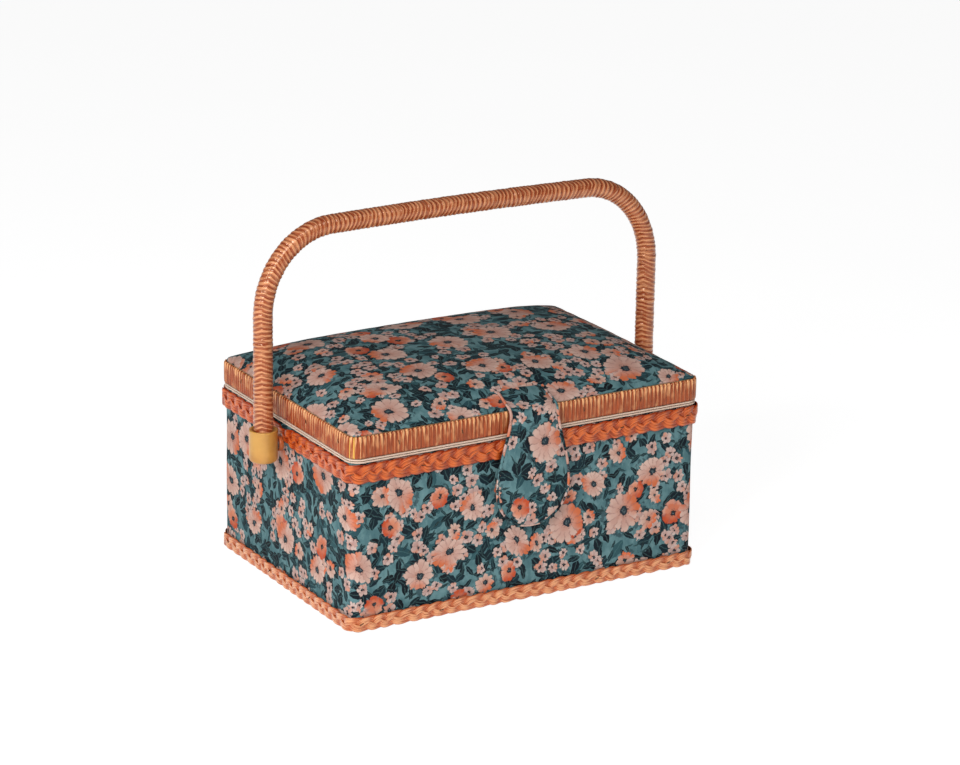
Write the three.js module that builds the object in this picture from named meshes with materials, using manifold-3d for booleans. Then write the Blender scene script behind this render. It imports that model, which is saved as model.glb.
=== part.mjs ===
import * as THREE from 'three';
import * as BufferGeometryUtils from 'three/addons/utils/BufferGeometryUtils.js';
import Module from 'manifold-3d';

// Sewing box: cloth-covered body, padded lid on two leaf hinges, swinging wrapped handle,
// closing tab and two compartment trays on ledges.
// Millimetres, +Z up. The origin is on the table at the middle of the footprint,
// +X runs along the front to the right, and the front faces -Y.

const wasm = await Module();
wasm.setup();

// ---------------------------------------------------------------- driving dimensions

const CLEARANCE = 0.3;

// Lid rim, the widest part of the case.
const RIM_HALF_X = 130;
const RIM_HALF_Y = 91.5;
const RIM_RADIUS = 8.5;
const RIM_BOTTOM = 115.8;
const RIM_TOP = 130;
const RIM_WRAP_THICK = 1.5;

// Body: cover, boards and lining, from outside to inside.
const COVER_HALF_X = 128.5;
const COVER_HALF_Y = 90;
const COVER_RADIUS = 7;
const COVER_THICK = 0.8;
const COVER_BOTTOM = 0.9;
const COVER_TOP = 112.4;
const WALL_THICK = 4;
const WALL_TOP = 113.9;
const POST_SIZE = 8;
const LINING_THICK = 4.1;
const UNDERSIDE_THICK = 0.8;
const BASE_THICK = 3;

// Plaited trims and piping cords.
const LOWER_BRAID_THICK = 2.2;
const LOWER_BRAID_BOTTOM = 0.5;
const LOWER_BRAID_TOP = 10.5;
const UPPER_BRAID_THICK = 2.7;
const UPPER_BRAID_BOTTOM = 99.5;
const UPPER_BRAID_TOP = 112.4;
const PIPING_SIZE = 1.2;
const PIPING_PROUD = 1.3;

// Lid.
const RAIL_BOTTOM = 114.3;
const RAIL_TOP = 128;
const RAIL_WIDTH = 9;
const LID_BOARD_THICK = 1.9;
const LID_COVER_THICK = 1;
const DOME_BOTTOM = 130.5;
const DOME_MARGIN = 0.2;
const LID_LINING_BOTTOM = 123.9;
const POCKET_THICK = 3;
const POCKET_X = [-108, 22];
const POCKET_MOUTH_Y = -12;
const POCKET_END_Y = 72;
const POCKET_ELASTIC_WIDTH = 6;
const PINCUSHION_THICK = 9;
const PINCUSHION_PLACE = [70, 18];
const PINCUSHION_HALF_X = 26;
const PINCUSHION_HALF_Y = 30;
const PINCUSHION_RADIUS = 12;

// The padded top rises from the rim: how far in from the edge, and how high above DOME_BOTTOM.
const DOME_PROFILE = [
  [0, 0],
  [3, 2.2],
  [7, 4.8],
  [12, 8],
  [18, 11.7],
  [25, 14.8],
  [36, 16],
  [55, 17.2],
  [80, 18],
];
// Its height lines get rounder corners further in, up to this share of their half width.
const DOME_CORNER_GROWTH = 1.7;
const DOME_CORNER_LIMIT = 0.9;

// Back hinges.
const HINGE_X = 78;
const HINGE_HALF_WIDTH = 15;
const HINGE_Y = 95.2;
const HINGE_Z = 114.1;
const KNUCKLE_RADIUS = 1.7;
const KNUCKLE_BORE = 1;
const KNUCKLE_HALF_LENGTH = 4.9;
const HINGE_PIN_RADIUS = 0.85;
const LEAF_THICK = 0.8;
const LEAF_HEIGHT = 12;

// Closing tab, hanging in front of the lid rim and the body.
const TAB_BACK = -93.4;
const TAB_THICK = 3.5;
const TAB_TOP = 130;
const TAB_TOP_HALF_WIDTH = 16.3;
const TAB_HALF_WIDTH = 26;
const TAB_ROUND_Z = 78.5;
const TAB_PIPING_RADIUS = 1;
const TAB_ANCHOR_STEPS = 5;
const TAB_ANCHOR_INNER = [0.45, 0.35];
const TAB_ANCHOR_OUTER = [1.6, 1.4];
const SNAP_Z = 70;
const SNAP_RADIUS = 6.5;
const SNAP_THICK = 1.3;

// Carrying handle: straight legs, elliptical shoulders, a nearly flat grip.
const HANDLE_HALF_SPAN = 144.3;
const HANDLE_LEG_MIDDLE_Z = 150;
const HANDLE_SHOULDER_Z = 186;
const HANDLE_SHOULDER_WIDTH = 50;
const HANDLE_GRIP_Z = 241;
const HANDLE_CROWN = 1;
const HANDLE_CORE_RADIUS = 5;
const HANDLE_WRAP_BORE = 5.6;
const HANDLE_WRAP_RADIUS = 6.5;
const HANDLE_FOOT_Z = 93;
const WRAP_FOOT_Z = 104;
const PIVOT_Z = 100;

// Ferrules, rivets and washers at the handle's feet.
const FERRULE_RADIUS = 9.3;
const FERRULE_BORE = 7.1;
const FERRULE_BOTTOM = 90;
const FERRULE_TOP = 111.5;
const FERRULE_FLOOR = 2.2;
const RIVET_RADIUS = 2;
const RIVET_HEAD_RADIUS = 4.5;
const RIVET_HEAD_THICK = 1.2;
const RIVET_LENGTH = 23.5;
const WASHER_RADIUS = 5;

// Trays and the ledges they stand on.
const LEDGE_WIDTH = 6;
const LEDGE_THICK = 4;
const TRAY_BOTTOM = 74.3;
const TRAY_TOP = 100.3;
const TRAY_WALL = 1.6;
const TRAY_SIDE_GAP = 0.7;
const TRAY_MIDDLE_GAP = 0.8;
const TRAY_RADIUS = 4;
const FINGER_NOTCH_WIDTH = 26;
const FINGER_NOTCH_DEPTH = 9;

// Rows of each tray from front to back: share of the depth, and number of compartments.
const LEFT_TRAY_ROWS = [[0.34, 2], [0.33, 2], [0.33, 1]];
const RIGHT_TRAY_ROWS = [[0.4, 1], [0.3, 2], [0.3, 2]];

// Steps for each curve of an outline; an arc gets twice as many.
const CORNER_SEGMENTS = 3;
const TAB_SEGMENTS = 10;

// ---------------------------------------------------------------- derived levels

const baseBottom = UNDERSIDE_THICK + CLEARANCE;
const baseTop = baseBottom + BASE_THICK;
const wallBottom = baseTop + CLEARANCE;
const boardHalfX = COVER_HALF_X - COVER_THICK - CLEARANCE;
const boardHalfY = COVER_HALF_Y - COVER_THICK - CLEARANCE;
const boardRadius = COVER_RADIUS - COVER_THICK;
const wallInnerX = boardHalfX - WALL_THICK;
const wallInnerY = boardHalfY - WALL_THICK;
const liningOuterX = wallInnerX - CLEARANCE;
const liningOuterY = wallInnerY - CLEARANCE;
const liningInnerX = liningOuterX - LINING_THICK;
const liningInnerY = liningOuterY - LINING_THICK;
const liningBaseTop = wallBottom + 3;
const lidInnerX = RIM_HALF_X - RIM_WRAP_THICK - CLEARANCE;
const lidInnerY = RIM_HALF_Y - RIM_WRAP_THICK - CLEARANCE;
const pipingHalfX = COVER_HALF_X + PIPING_PROUD;
const pipingHalfY = COVER_HALF_Y + PIPING_PROUD;
const braidInnerX = COVER_HALF_X + CLEARANCE;
const braidInnerY = COVER_HALF_Y + CLEARANCE;
const ledgeTop = TRAY_BOTTOM - CLEARANCE;

// ---------------------------------------------------------------- materials

const MATERIALS = {
  printedCloth: { color: 0x5e8583, roughness: 0.85, metalness: 0 },
  plait: { color: 0xcd6a3c, roughness: 0.35, metalness: 0 },
  palePlait: { color: 0xdc8450, roughness: 0.4, metalness: 0 },
  rimWinding: { color: 0xd07a44, roughness: 0.35, metalness: 0 },
  ribbon: { color: 0xbe6941, roughness: 0.3, metalness: 0 },
  cord: { color: 0xe1c3af, roughness: 0.7, metalness: 0 },
  satin: { color: 0xe9ddc6, roughness: 0.45, metalness: 0 },
  board: { color: 0xb49a76, roughness: 0.9, metalness: 0 },
  wood: { color: 0xc9a677, roughness: 0.8, metalness: 0 },
  wadding: { color: 0xf1eee6, roughness: 1, metalness: 0 },
  underside: { color: 0x2f4a4c, roughness: 0.95, metalness: 0 },
  tanPlastic: { color: 0xd4a555, roughness: 0.45, metalness: 0 },
  trayPlastic: { color: 0xe8e6df, roughness: 0.4, metalness: 0 },
  steel: { color: 0xb9bcc0, roughness: 0.35, metalness: 1 },
};

// ---------------------------------------------------------------- shape helpers

function roundedRectangle(halfX, halfY, radius) {
  const shape = new THREE.Shape();
  const centreX = halfX - radius;
  const centreY = halfY - radius;
  shape.absarc(centreX, centreY, radius, 0, Math.PI / 2);
  shape.absarc(-centreX, centreY, radius, Math.PI / 2, Math.PI);
  shape.absarc(-centreX, -centreY, radius, Math.PI, Math.PI * 1.5);
  shape.absarc(centreX, -centreY, radius, Math.PI * 1.5, Math.PI * 2);
  shape.closePath();
  return shape;
}

function extrude(shape, depth, segments = CORNER_SEGMENTS) {
  const options = { depth, bevelEnabled: false, curveSegments: segments };
  return new THREE.ExtrudeGeometry(shape, options);
}

function slab(shape, bottom, top) {
  return extrude(shape, top - bottom).translate(0, 0, bottom);
}

// A closed band of one thickness round the case.
function band(halfX, halfY, radius, thick, bottom, top) {
  const shape = roundedRectangle(halfX, halfY, radius);
  shape.holes.push(roundedRectangle(halfX - thick, halfY - thick, radius - thick));
  return slab(shape, bottom, top);
}

function block(x, y, z) {
  const geometry = new THREE.BoxGeometry(x[1] - x[0], y[1] - y[0], z[1] - z[0]);
  return geometry.translate((x[0] + x[1]) / 2, (y[0] + y[1]) / 2, (z[0] + z[1]) / 2);
}

// A shape drawn in (Y, Z), extruded along +X from x = start.
function extrudeAlongX(shape, start, end) {
  const toX = new THREE.Matrix4().makeBasis(
    new THREE.Vector3(0, 1, 0),
    new THREE.Vector3(0, 0, 1),
    new THREE.Vector3(1, 0, 0),
  );
  return extrude(shape, end - start).applyMatrix4(toX).translate(start, 0, 0);
}

// A shape drawn in (X, Z), extruded towards the front from y = back.
function extrudeToFront(shape, back, thick) {
  const toFront = new THREE.Matrix4().makeBasis(
    new THREE.Vector3(1, 0, 0),
    new THREE.Vector3(0, 0, 1),
    new THREE.Vector3(0, -1, 0),
  );
  return extrude(shape, thick, TAB_SEGMENTS).applyMatrix4(toFront).translate(0, back, 0);
}

function cylinderAlongX(radius, start, end, y, z, sides = 20) {
  const geometry = new THREE.CylinderGeometry(radius, radius, end - start, sides);
  return geometry.rotateZ(-Math.PI / 2).translate((start + end) / 2, y, z);
}

function cylinderAlongY(radius, start, end, x, z) {
  const geometry = new THREE.CylinderGeometry(radius, radius, end - start, 24);
  return geometry.translate(x, (start + end) / 2, z);
}

function circle(radius) {
  const shape = new THREE.Shape();
  shape.absarc(0, 0, radius, 0, Math.PI * 2);
  return shape;
}

function ringOfPoints(halfX, halfY, radius, z) {
  const outline = roundedRectangle(halfX, halfY, radius).getPoints(CORNER_SEGMENTS);
  const closes = outline[0].distanceTo(outline[outline.length - 1]) < 1e-6;
  const points = closes ? outline.slice(0, -1) : outline;
  return points.map((point) => new THREE.Vector3(point.x, point.y, z));
}

// Joins rings of equal length with side faces and closes both ends with fans.
function loft(rings) {
  const count = rings[0].length;
  const positions = [];
  const indices = [];
  for (const ring of rings) {
    for (const point of ring) {
      positions.push(point.x, point.y, point.z);
    }
  }
  for (let level = 0; level < rings.length - 1; level += 1) {
    for (let i = 0; i < count; i += 1) {
      const next = (i + 1) % count;
      const a = level * count + i;
      const b = level * count + next;
      indices.push(a, b, b + count, a, b + count, a + count);
    }
  }
  for (const last of [false, true]) {
    const start = last ? (rings.length - 1) * count : 0;
    const centre = positions.length / 3;
    const middle = last ? rings[rings.length - 1] : rings[0];
    positions.push(0, 0, 0);
    const sum = middle.reduce((total, point) => total.add(point), new THREE.Vector3());
    sum.divideScalar(count).toArray(positions, centre * 3);
    for (let i = 0; i < count; i += 1) {
      const next = (i + 1) % count;
      const pair = last ? [start + i, start + next] : [start + next, start + i];
      indices.push(centre, ...pair);
    }
  }
  const geometry = new THREE.BufferGeometry();
  geometry.setAttribute('position', new THREE.Float32BufferAttribute(positions, 3));
  geometry.setIndex(indices);
  return geometry;
}

function domeRings(inset, lower, bottom) {
  return DOME_PROFILE.map(([inward, up]) => {
    const halfX = COVER_HALF_X + DOME_MARGIN - inset - inward;
    const halfY = COVER_HALF_Y + DOME_MARGIN - inset - inward;
    const z = up === 0 ? bottom : DOME_BOTTOM + up - lower;
    const grown = COVER_RADIUS + inward * DOME_CORNER_GROWTH;
    return ringOfPoints(halfX, halfY, Math.min(grown, halfY * DOME_CORNER_LIMIT), z);
  });
}

// ---------------------------------------------------------------- cutting and joining

function toSolid(geometry) {
  const bare = geometry.clone();
  bare.deleteAttribute('normal');
  bare.deleteAttribute('uv');
  const merged = BufferGeometryUtils.mergeVertices(bare, 1e-4);
  const vertProperties = new Float32Array(merged.attributes.position.array);
  const triVerts = new Uint32Array(merged.index.array);
  return new wasm.Manifold(new wasm.Mesh({ numProp: 3, vertProperties, triVerts }));
}

function fromSolid(solid) {
  const mesh = solid.getMesh();
  const geometry = new THREE.BufferGeometry();
  geometry.setAttribute('position', new THREE.Float32BufferAttribute(mesh.vertProperties, 3));
  geometry.setIndex(Array.from(mesh.triVerts));
  geometry.computeVertexNormals();
  return geometry;
}

function cut(geometry, tools) {
  return fromSolid(tools.reduce((solid, tool) => solid.subtract(toSolid(tool)), toSolid(geometry)));
}

function join(first, others) {
  return fromSolid(others.reduce((solid, other) => solid.add(toSolid(other)), toSolid(first)));
}

// ---------------------------------------------------------------- the assembly

const sewingBox = new THREE.Group();

function add(name, geometry, material) {
  const mesh = new THREE.Mesh(geometry, new THREE.MeshStandardMaterial(MATERIALS[material]));
  mesh.name = name;
  sewingBox.add(mesh);
}

function rivetHoles() {
  const radius = RIVET_RADIUS + CLEARANCE;
  return [-1, 1].map((side) => {
    const ends = [side * liningInnerX, side * (RIM_HALF_X + 5)].sort((a, b) => a - b);
    return cylinderAlongX(radius, ends[0], ends[1], 0, PIVOT_Z);
  });
}

// ---------------------------------------------------------------- body

function addBase() {
  const underside = roundedRectangle(boardHalfX - 1.5, boardHalfY - 1.5, boardRadius);
  add('underside_cover', slab(underside, 0, UNDERSIDE_THICK), 'underside');
  const board = roundedRectangle(boardHalfX, boardHalfY, boardRadius);
  add('base_board', slab(board, baseBottom, baseTop), 'board');
}

function addWalls() {
  const height = [wallBottom, WALL_TOP];
  const spanX = boardHalfX - POST_SIZE - CLEARANCE;
  const spanY = boardHalfY - POST_SIZE - CLEARANCE;
  add('front_wall', block([-spanX, spanX], [-boardHalfY, -wallInnerY], height), 'board');
  add('back_wall', block([-spanX, spanX], [wallInnerY, boardHalfY], height), 'board');
  const left = block([-boardHalfX, -wallInnerX], [-spanY, spanY], height);
  const right = block([wallInnerX, boardHalfX], [-spanY, spanY], height);
  add('left_wall', cut(left, rivetHoles()), 'board');
  add('right_wall', cut(right, rivetHoles()), 'board');
}

function cornerPost(sideX, sideY) {
  const shape = new THREE.Shape();
  const middle = POST_SIZE - boardRadius;
  shape.moveTo(0, 0);
  shape.lineTo(POST_SIZE, 0);
  shape.lineTo(POST_SIZE, middle);
  shape.absarc(middle, middle, boardRadius, 0, Math.PI / 2);
  shape.lineTo(0, POST_SIZE);
  shape.closePath();
  const turns = { '1,1': 0, '-1,1': 1, '-1,-1': 2, '1,-1': 3 };
  const geometry = slab(shape, wallBottom, WALL_TOP);
  geometry.rotateZ(turns[`${sideX},${sideY}`] * Math.PI / 2);
  return geometry.translate(sideX * (boardHalfX - POST_SIZE), sideY * (boardHalfY - POST_SIZE), 0);
}

function addCornerPosts() {
  add('corner_post_front_left', cornerPost(-1, -1), 'wood');
  add('corner_post_front_right', cornerPost(1, -1), 'wood');
  add('corner_post_back_left', cornerPost(-1, 1), 'wood');
  add('corner_post_back_right', cornerPost(1, 1), 'wood');
}

function addBodyCover() {
  const cover = band(
    COVER_HALF_X, COVER_HALF_Y, COVER_RADIUS, COVER_THICK, COVER_BOTTOM, COVER_TOP,
  );
  add('outer_fabric', cut(cover, rivetHoles()), 'printedCloth');
}

function trimBand(thick, bottom, top) {
  const halfX = braidInnerX + thick;
  const halfY = braidInnerY + thick;
  return band(halfX, halfY, COVER_RADIUS + CLEARANCE + thick, thick, bottom, top);
}

function addBodyTrims() {
  const lower = trimBand(LOWER_BRAID_THICK, LOWER_BRAID_BOTTOM, LOWER_BRAID_TOP);
  add('lower_braid', lower, 'palePlait');
  const upper = trimBand(UPPER_BRAID_THICK, UPPER_BRAID_BOTTOM, UPPER_BRAID_TOP);
  add('upper_braid', cut(upper, rivetHoles()), 'plait');
  const bottom = COVER_TOP + CLEARANCE;
  const thick = pipingHalfX - COVER_HALF_X + COVER_THICK;
  const piping = band(
    pipingHalfX, pipingHalfY, COVER_RADIUS + PIPING_PROUD, thick, bottom, bottom + PIPING_SIZE,
  );
  add('rim_piping', piping, 'cord');
}

function addBodyLining() {
  const height = [wallBottom, WALL_TOP - CLEARANCE];
  const spanX = liningInnerX + 0.1;
  const spanY = liningInnerY - CLEARANCE;
  add('lining_front', block([-spanX, spanX], [-liningOuterY, -liningInnerY], height), 'satin');
  add('lining_back', block([-spanX, spanX], [liningInnerY, liningOuterY], height), 'satin');
  for (const [name, side] of [['lining_left', -1], ['lining_right', 1]]) {
    const x = [side * liningInnerX, side * liningOuterX].sort((a, b) => a - b);
    const recess = [side * (liningOuterX - RIVET_HEAD_THICK - 0.6), side * (liningOuterX + 1)];
    recess.sort((a, b) => a - b);
    const tool = cylinderAlongX(RIVET_HEAD_RADIUS + 0.5, recess[0], recess[1], 0, PIVOT_Z);
    add(name, cut(block(x, [-spanY, spanY], height), [tool]), 'satin');
  }
  const insideX = liningInnerX - CLEARANCE;
  const insideY = liningInnerY - CLEARANCE;
  const base = block([-insideX, insideX], [-insideY, insideY], [wallBottom, liningBaseTop]);
  add('lining_base', base, 'satin');
}

function addLedges() {
  const spanX = liningInnerX - 0.5;
  const outer = liningInnerY - CLEARANCE;
  const inner = outer - LEDGE_WIDTH;
  const height = [ledgeTop - LEDGE_THICK, ledgeTop];
  add('tray_ledge_front', block([-spanX, spanX], [-outer, -inner], height), 'wood');
  add('tray_ledge_back', block([-spanX, spanX], [inner, outer], height), 'wood');
}

function addSnapStud() {
  const back = -COVER_HALF_Y - CLEARANCE;
  add('snap_stud', cylinderAlongY(SNAP_RADIUS, back - SNAP_THICK, back, 0, SNAP_Z), 'steel');
}

// ---------------------------------------------------------------- hinges

function knuckle(start, end) {
  const shape = new THREE.Shape();
  shape.absarc(HINGE_Y, HINGE_Z, KNUCKLE_RADIUS, 0, Math.PI * 2);
  const bore = new THREE.Path();
  bore.absarc(HINGE_Y, HINGE_Z, KNUCKLE_BORE, 0, Math.PI * 2);
  shape.holes.push(bore);
  return extrudeAlongX(shape, start, end);
}

// The body's leaf carries the two outer knuckles and lies over the plaited trim.
function bodyLeaf(x) {
  const front = braidInnerY + UPPER_BRAID_THICK + CLEARANCE;
  const y = [front, front + LEAF_THICK];
  const top = HINGE_Z - KNUCKLE_RADIUS - 0.4;
  const plate = block([x - HINGE_HALF_WIDTH, x + HINGE_HALF_WIDTH], y, [top - LEAF_HEIGHT, top]);
  const parts = [-1, 1].flatMap((side) => {
    const ends = [x + side * (KNUCKLE_HALF_LENGTH + CLEARANCE), x + side * HINGE_HALF_WIDTH];
    ends.sort((a, b) => a - b);
    return [knuckle(ends[0], ends[1]), block(ends, y, [top - 1, HINGE_Z - 0.5])];
  });
  return join(plate, parts);
}

// The lid's leaf carries the middle knuckle and lies on the rim winding.
function lidLeaf(x) {
  const front = RIM_HALF_Y + CLEARANCE;
  const middle = [x - KNUCKLE_HALF_LENGTH, x + KNUCKLE_HALF_LENGTH];
  const bottom = HINGE_Z + 0.8;
  const plate = block(
    [x - HINGE_HALF_WIDTH, x + HINGE_HALF_WIDTH],
    [front, front + LEAF_THICK],
    [bottom + 0.3, bottom + LEAF_HEIGHT],
  );
  const web = block(middle, [front, HINGE_Y - 0.8], [bottom, bottom + LEAF_THICK]);
  return join(plate, [web, knuckle(middle[0], middle[1])]);
}

function hingePin(x) {
  const reach = HINGE_HALF_WIDTH + 0.6;
  return cylinderAlongX(HINGE_PIN_RADIUS, x - reach, x + reach, HINGE_Y, HINGE_Z, 16);
}

function addHinges() {
  for (const [side, x] of [['left', -HINGE_X], ['right', HINGE_X]]) {
    add(`hinge_leaf_body_${side}`, bodyLeaf(x), 'steel');
    add(`hinge_leaf_lid_${side}`, lidLeaf(x), 'steel');
    add(`hinge_pin_${side}`, hingePin(x), 'steel');
  }
}

// ---------------------------------------------------------------- lid

function longRail(side) {
  const shape = new THREE.Shape();
  const outer = lidInnerY;
  const inner = lidInnerY - RAIL_WIDTH;
  const radius = RIM_RADIUS - RIM_WRAP_THICK;
  shape.moveTo(-lidInnerX, inner);
  shape.lineTo(lidInnerX, inner);
  shape.absarc(lidInnerX - radius, outer - radius, radius, 0, Math.PI / 2);
  shape.absarc(-lidInnerX + radius, outer - radius, radius, Math.PI / 2, Math.PI);
  shape.closePath();
  const geometry = slab(shape, RAIL_BOTTOM, RAIL_TOP);
  return side < 0 ? geometry.rotateZ(Math.PI) : geometry;
}

function addLidFrame() {
  add('lid_rail_front', longRail(-1), 'wood');
  add('lid_rail_back', longRail(1), 'wood');
  const spanY = lidInnerY - RAIL_WIDTH - CLEARANCE;
  const inner = lidInnerX - RAIL_WIDTH;
  const height = [RAIL_BOTTOM, RAIL_TOP];
  add('lid_rail_left', block([-lidInnerX, -inner], [-spanY, spanY], height), 'wood');
  add('lid_rail_right', block([inner, lidInnerX], [-spanY, spanY], height), 'wood');
  const board = roundedRectangle(lidInnerX - 0.4, lidInnerY - 0.4, RIM_RADIUS - RIM_WRAP_THICK);
  const boardBottom = RAIL_TOP + CLEARANCE;
  add('lid_board', slab(board, boardBottom, boardBottom + LID_BOARD_THICK), 'board');
}

function addLidTrims() {
  const winding = band(RIM_HALF_X, RIM_HALF_Y, RIM_RADIUS, RIM_WRAP_THICK, RIM_BOTTOM, RIM_TOP);
  add('lid_rim_wrap', winding, 'rimWinding');
  const piping = band(
    pipingHalfX, pipingHalfY, RIM_RADIUS - 0.2, PIPING_PROUD, RAIL_BOTTOM, RAIL_BOTTOM + PIPING_SIZE,
  );
  add('lid_piping', piping, 'cord');
}

function addLidPadding() {
  const insideInset = LID_COVER_THICK;
  const foam = loft(domeRings(insideInset + CLEARANCE, LID_COVER_THICK + CLEARANCE, DOME_BOTTOM));
  add('lid_foam', foam, 'wadding');
  const inside = domeRings(insideInset, LID_COVER_THICK, DOME_BOTTOM).reverse();
  const outside = domeRings(0, 0, DOME_BOTTOM);
  add('lid_cover', loft([...inside, ...outside]), 'printedCloth');
}

function addLidInside() {
  const insideX = lidInnerX - RAIL_WIDTH - CLEARANCE;
  const insideY = lidInnerY - RAIL_WIDTH - CLEARANCE;
  const lining = roundedRectangle(insideX, insideY, 2);
  add('lid_lining', slab(lining, LID_LINING_BOTTOM, RAIL_TOP), 'satin');
  const under = LID_LINING_BOTTOM - CLEARANCE;
  const pocketZ = [under - POCKET_THICK, under];
  add('lid_pocket', block(POCKET_X, [POCKET_MOUTH_Y, POCKET_END_Y], pocketZ), 'satin');
  const elasticTop = POCKET_MOUTH_Y - CLEARANCE;
  const elasticY = [elasticTop - POCKET_ELASTIC_WIDTH, elasticTop];
  add('pocket_elastic', block(POCKET_X, elasticY, pocketZ), 'satin');
  add('pincushion', pincushion(under), 'satin');
}

function pincushion(top) {
  const bottom = top - PINCUSHION_THICK + 0.1;
  const levels = [[0, 0], [3, 0.12], [3.6, 0.5], [3, 0.88], [0, 1]];
  const rings = levels.map(([outward, up]) => {
    const z = bottom + up * (top - bottom);
    return ringOfPoints(
      PINCUSHION_HALF_X + outward, PINCUSHION_HALF_Y + outward, PINCUSHION_RADIUS + outward, z,
    );
  });
  return loft(rings).translate(...PINCUSHION_PLACE, 0);
}

// ---------------------------------------------------------------- closing tab

function tabOutline() {
  const shape = new THREE.Shape();
  const sideCurve = (side) => [
    side * (TAB_TOP_HALF_WIDTH + 1.2), TAB_TOP - 18, side * TAB_HALF_WIDTH, TAB_ROUND_Z + 19,
  ];
  const [leftX1, leftZ1, leftX2, leftZ2] = sideCurve(-1);
  const [rightX1, rightZ1, rightX2, rightZ2] = sideCurve(1);
  shape.moveTo(-TAB_TOP_HALF_WIDTH, TAB_TOP);
  shape.bezierCurveTo(leftX1, leftZ1, leftX2, leftZ2, -TAB_HALF_WIDTH, TAB_ROUND_Z);
  shape.absarc(0, TAB_ROUND_Z, TAB_HALF_WIDTH, Math.PI, Math.PI * 2);
  shape.bezierCurveTo(rightX2, rightZ2, rightX1, rightZ1, TAB_TOP_HALF_WIDTH, TAB_TOP);
  return shape;
}

function tabPiping() {
  const outward = TAB_PIPING_RADIUS + CLEARANCE;
  const middleY = TAB_BACK - TAB_THICK + TAB_PIPING_RADIUS;
  const outline = tabOutline().getSpacedPoints(36);
  const route = outline.map((point, i) => {
    const before = outline[Math.max(i - 1, 0)];
    const after = outline[Math.min(i + 1, outline.length - 1)];
    const along = after.clone().sub(before).normalize();
    return new THREE.Vector3(
      point.x + along.y * outward, middleY, point.y - along.x * outward,
    );
  });
  const options = { steps: 44, curveSegments: 4, extrudePath: new THREE.CatmullRomCurve3(route) };
  return new THREE.ExtrudeGeometry(circle(TAB_PIPING_RADIUS), options);
}

// The tab's sewn root, lying on the front slope of the padded lid: each face is the slope
// moved out towards the front and up.
function tabAnchor() {
  const front = -COVER_HALF_Y - DOME_MARGIN;
  const slope = DOME_PROFILE.slice(0, TAB_ANCHOR_STEPS);
  const moved = ([outward, raised]) => slope.map(([inward, up]) => [
    front + inward - outward, DOME_BOTTOM + up + raised,
  ]);
  const inner = moved(TAB_ANCHOR_INNER);
  const outer = moved(TAB_ANCHOR_OUTER);
  const points = [...inner, ...outer.reverse()].map(([y, z]) => new THREE.Vector2(y, z));
  return extrudeAlongX(new THREE.Shape(points), -TAB_TOP_HALF_WIDTH, TAB_TOP_HALF_WIDTH);
}

function addTab() {
  add('tab_anchor', tabAnchor(), 'printedCloth');
  add('tab_flap', extrudeToFront(tabOutline(), TAB_BACK, TAB_THICK), 'printedCloth');
  add('tab_piping', tabPiping(), 'printedCloth');
  const front = TAB_BACK + CLEARANCE;
  const socket = cylinderAlongY(SNAP_RADIUS, front, front + SNAP_THICK - CLEARANCE, 0, SNAP_Z);
  add('snap_socket', socket, 'steel');
}

// ---------------------------------------------------------------- handle

function handlePath(footZ) {
  const points = [footZ, footZ + 20, HANDLE_LEG_MIDDLE_Z].map((z) => new THREE.Vector2(HANDLE_HALF_SPAN, z));
  const shoulderX = HANDLE_HALF_SPAN - HANDLE_SHOULDER_WIDTH;
  const shoulderSteps = 8;
  for (let i = 0; i <= shoulderSteps; i += 1) {
    const angle = (i / shoulderSteps) * Math.PI / 2;
    points.push(new THREE.Vector2(
      shoulderX + HANDLE_SHOULDER_WIDTH * Math.cos(angle),
      HANDLE_SHOULDER_Z + (HANDLE_GRIP_Z - HANDLE_SHOULDER_Z) * Math.sin(angle),
    ));
  }
  points.push(new THREE.Vector2(shoulderX / 2, HANDLE_GRIP_Z + HANDLE_CROWN));
  const left = points.map((point) => new THREE.Vector3(-point.x, 0, point.y));
  const right = points.map((point) => new THREE.Vector3(point.x, 0, point.y)).reverse();
  const top = new THREE.Vector3(0, 0, HANDLE_GRIP_Z + HANDLE_CROWN);
  return new THREE.CatmullRomCurve3([...left, top, ...right], false, 'centripetal');
}

function addHandle() {
  const coreOptions = { steps: 44, curveSegments: 6, extrudePath: handlePath(HANDLE_FOOT_Z) };
  const core = new THREE.ExtrudeGeometry(circle(HANDLE_CORE_RADIUS), coreOptions);
  const holes = [-1, 1].map((side) => {
    const middle = side * HANDLE_HALF_SPAN;
    const radius = RIVET_RADIUS + CLEARANCE;
    return cylinderAlongX(radius, middle - 10, middle + 10, 0, PIVOT_Z);
  });
  add('handle_core', cut(core, holes), 'wood');
  const sleeve = circle(HANDLE_WRAP_RADIUS);
  sleeve.holes.push(circle(HANDLE_WRAP_BORE));
  const wrapOptions = { steps: 44, curveSegments: 6, extrudePath: handlePath(WRAP_FOOT_Z) };
  add('handle_wrap', new THREE.ExtrudeGeometry(sleeve, wrapOptions), 'ribbon');
}

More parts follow.
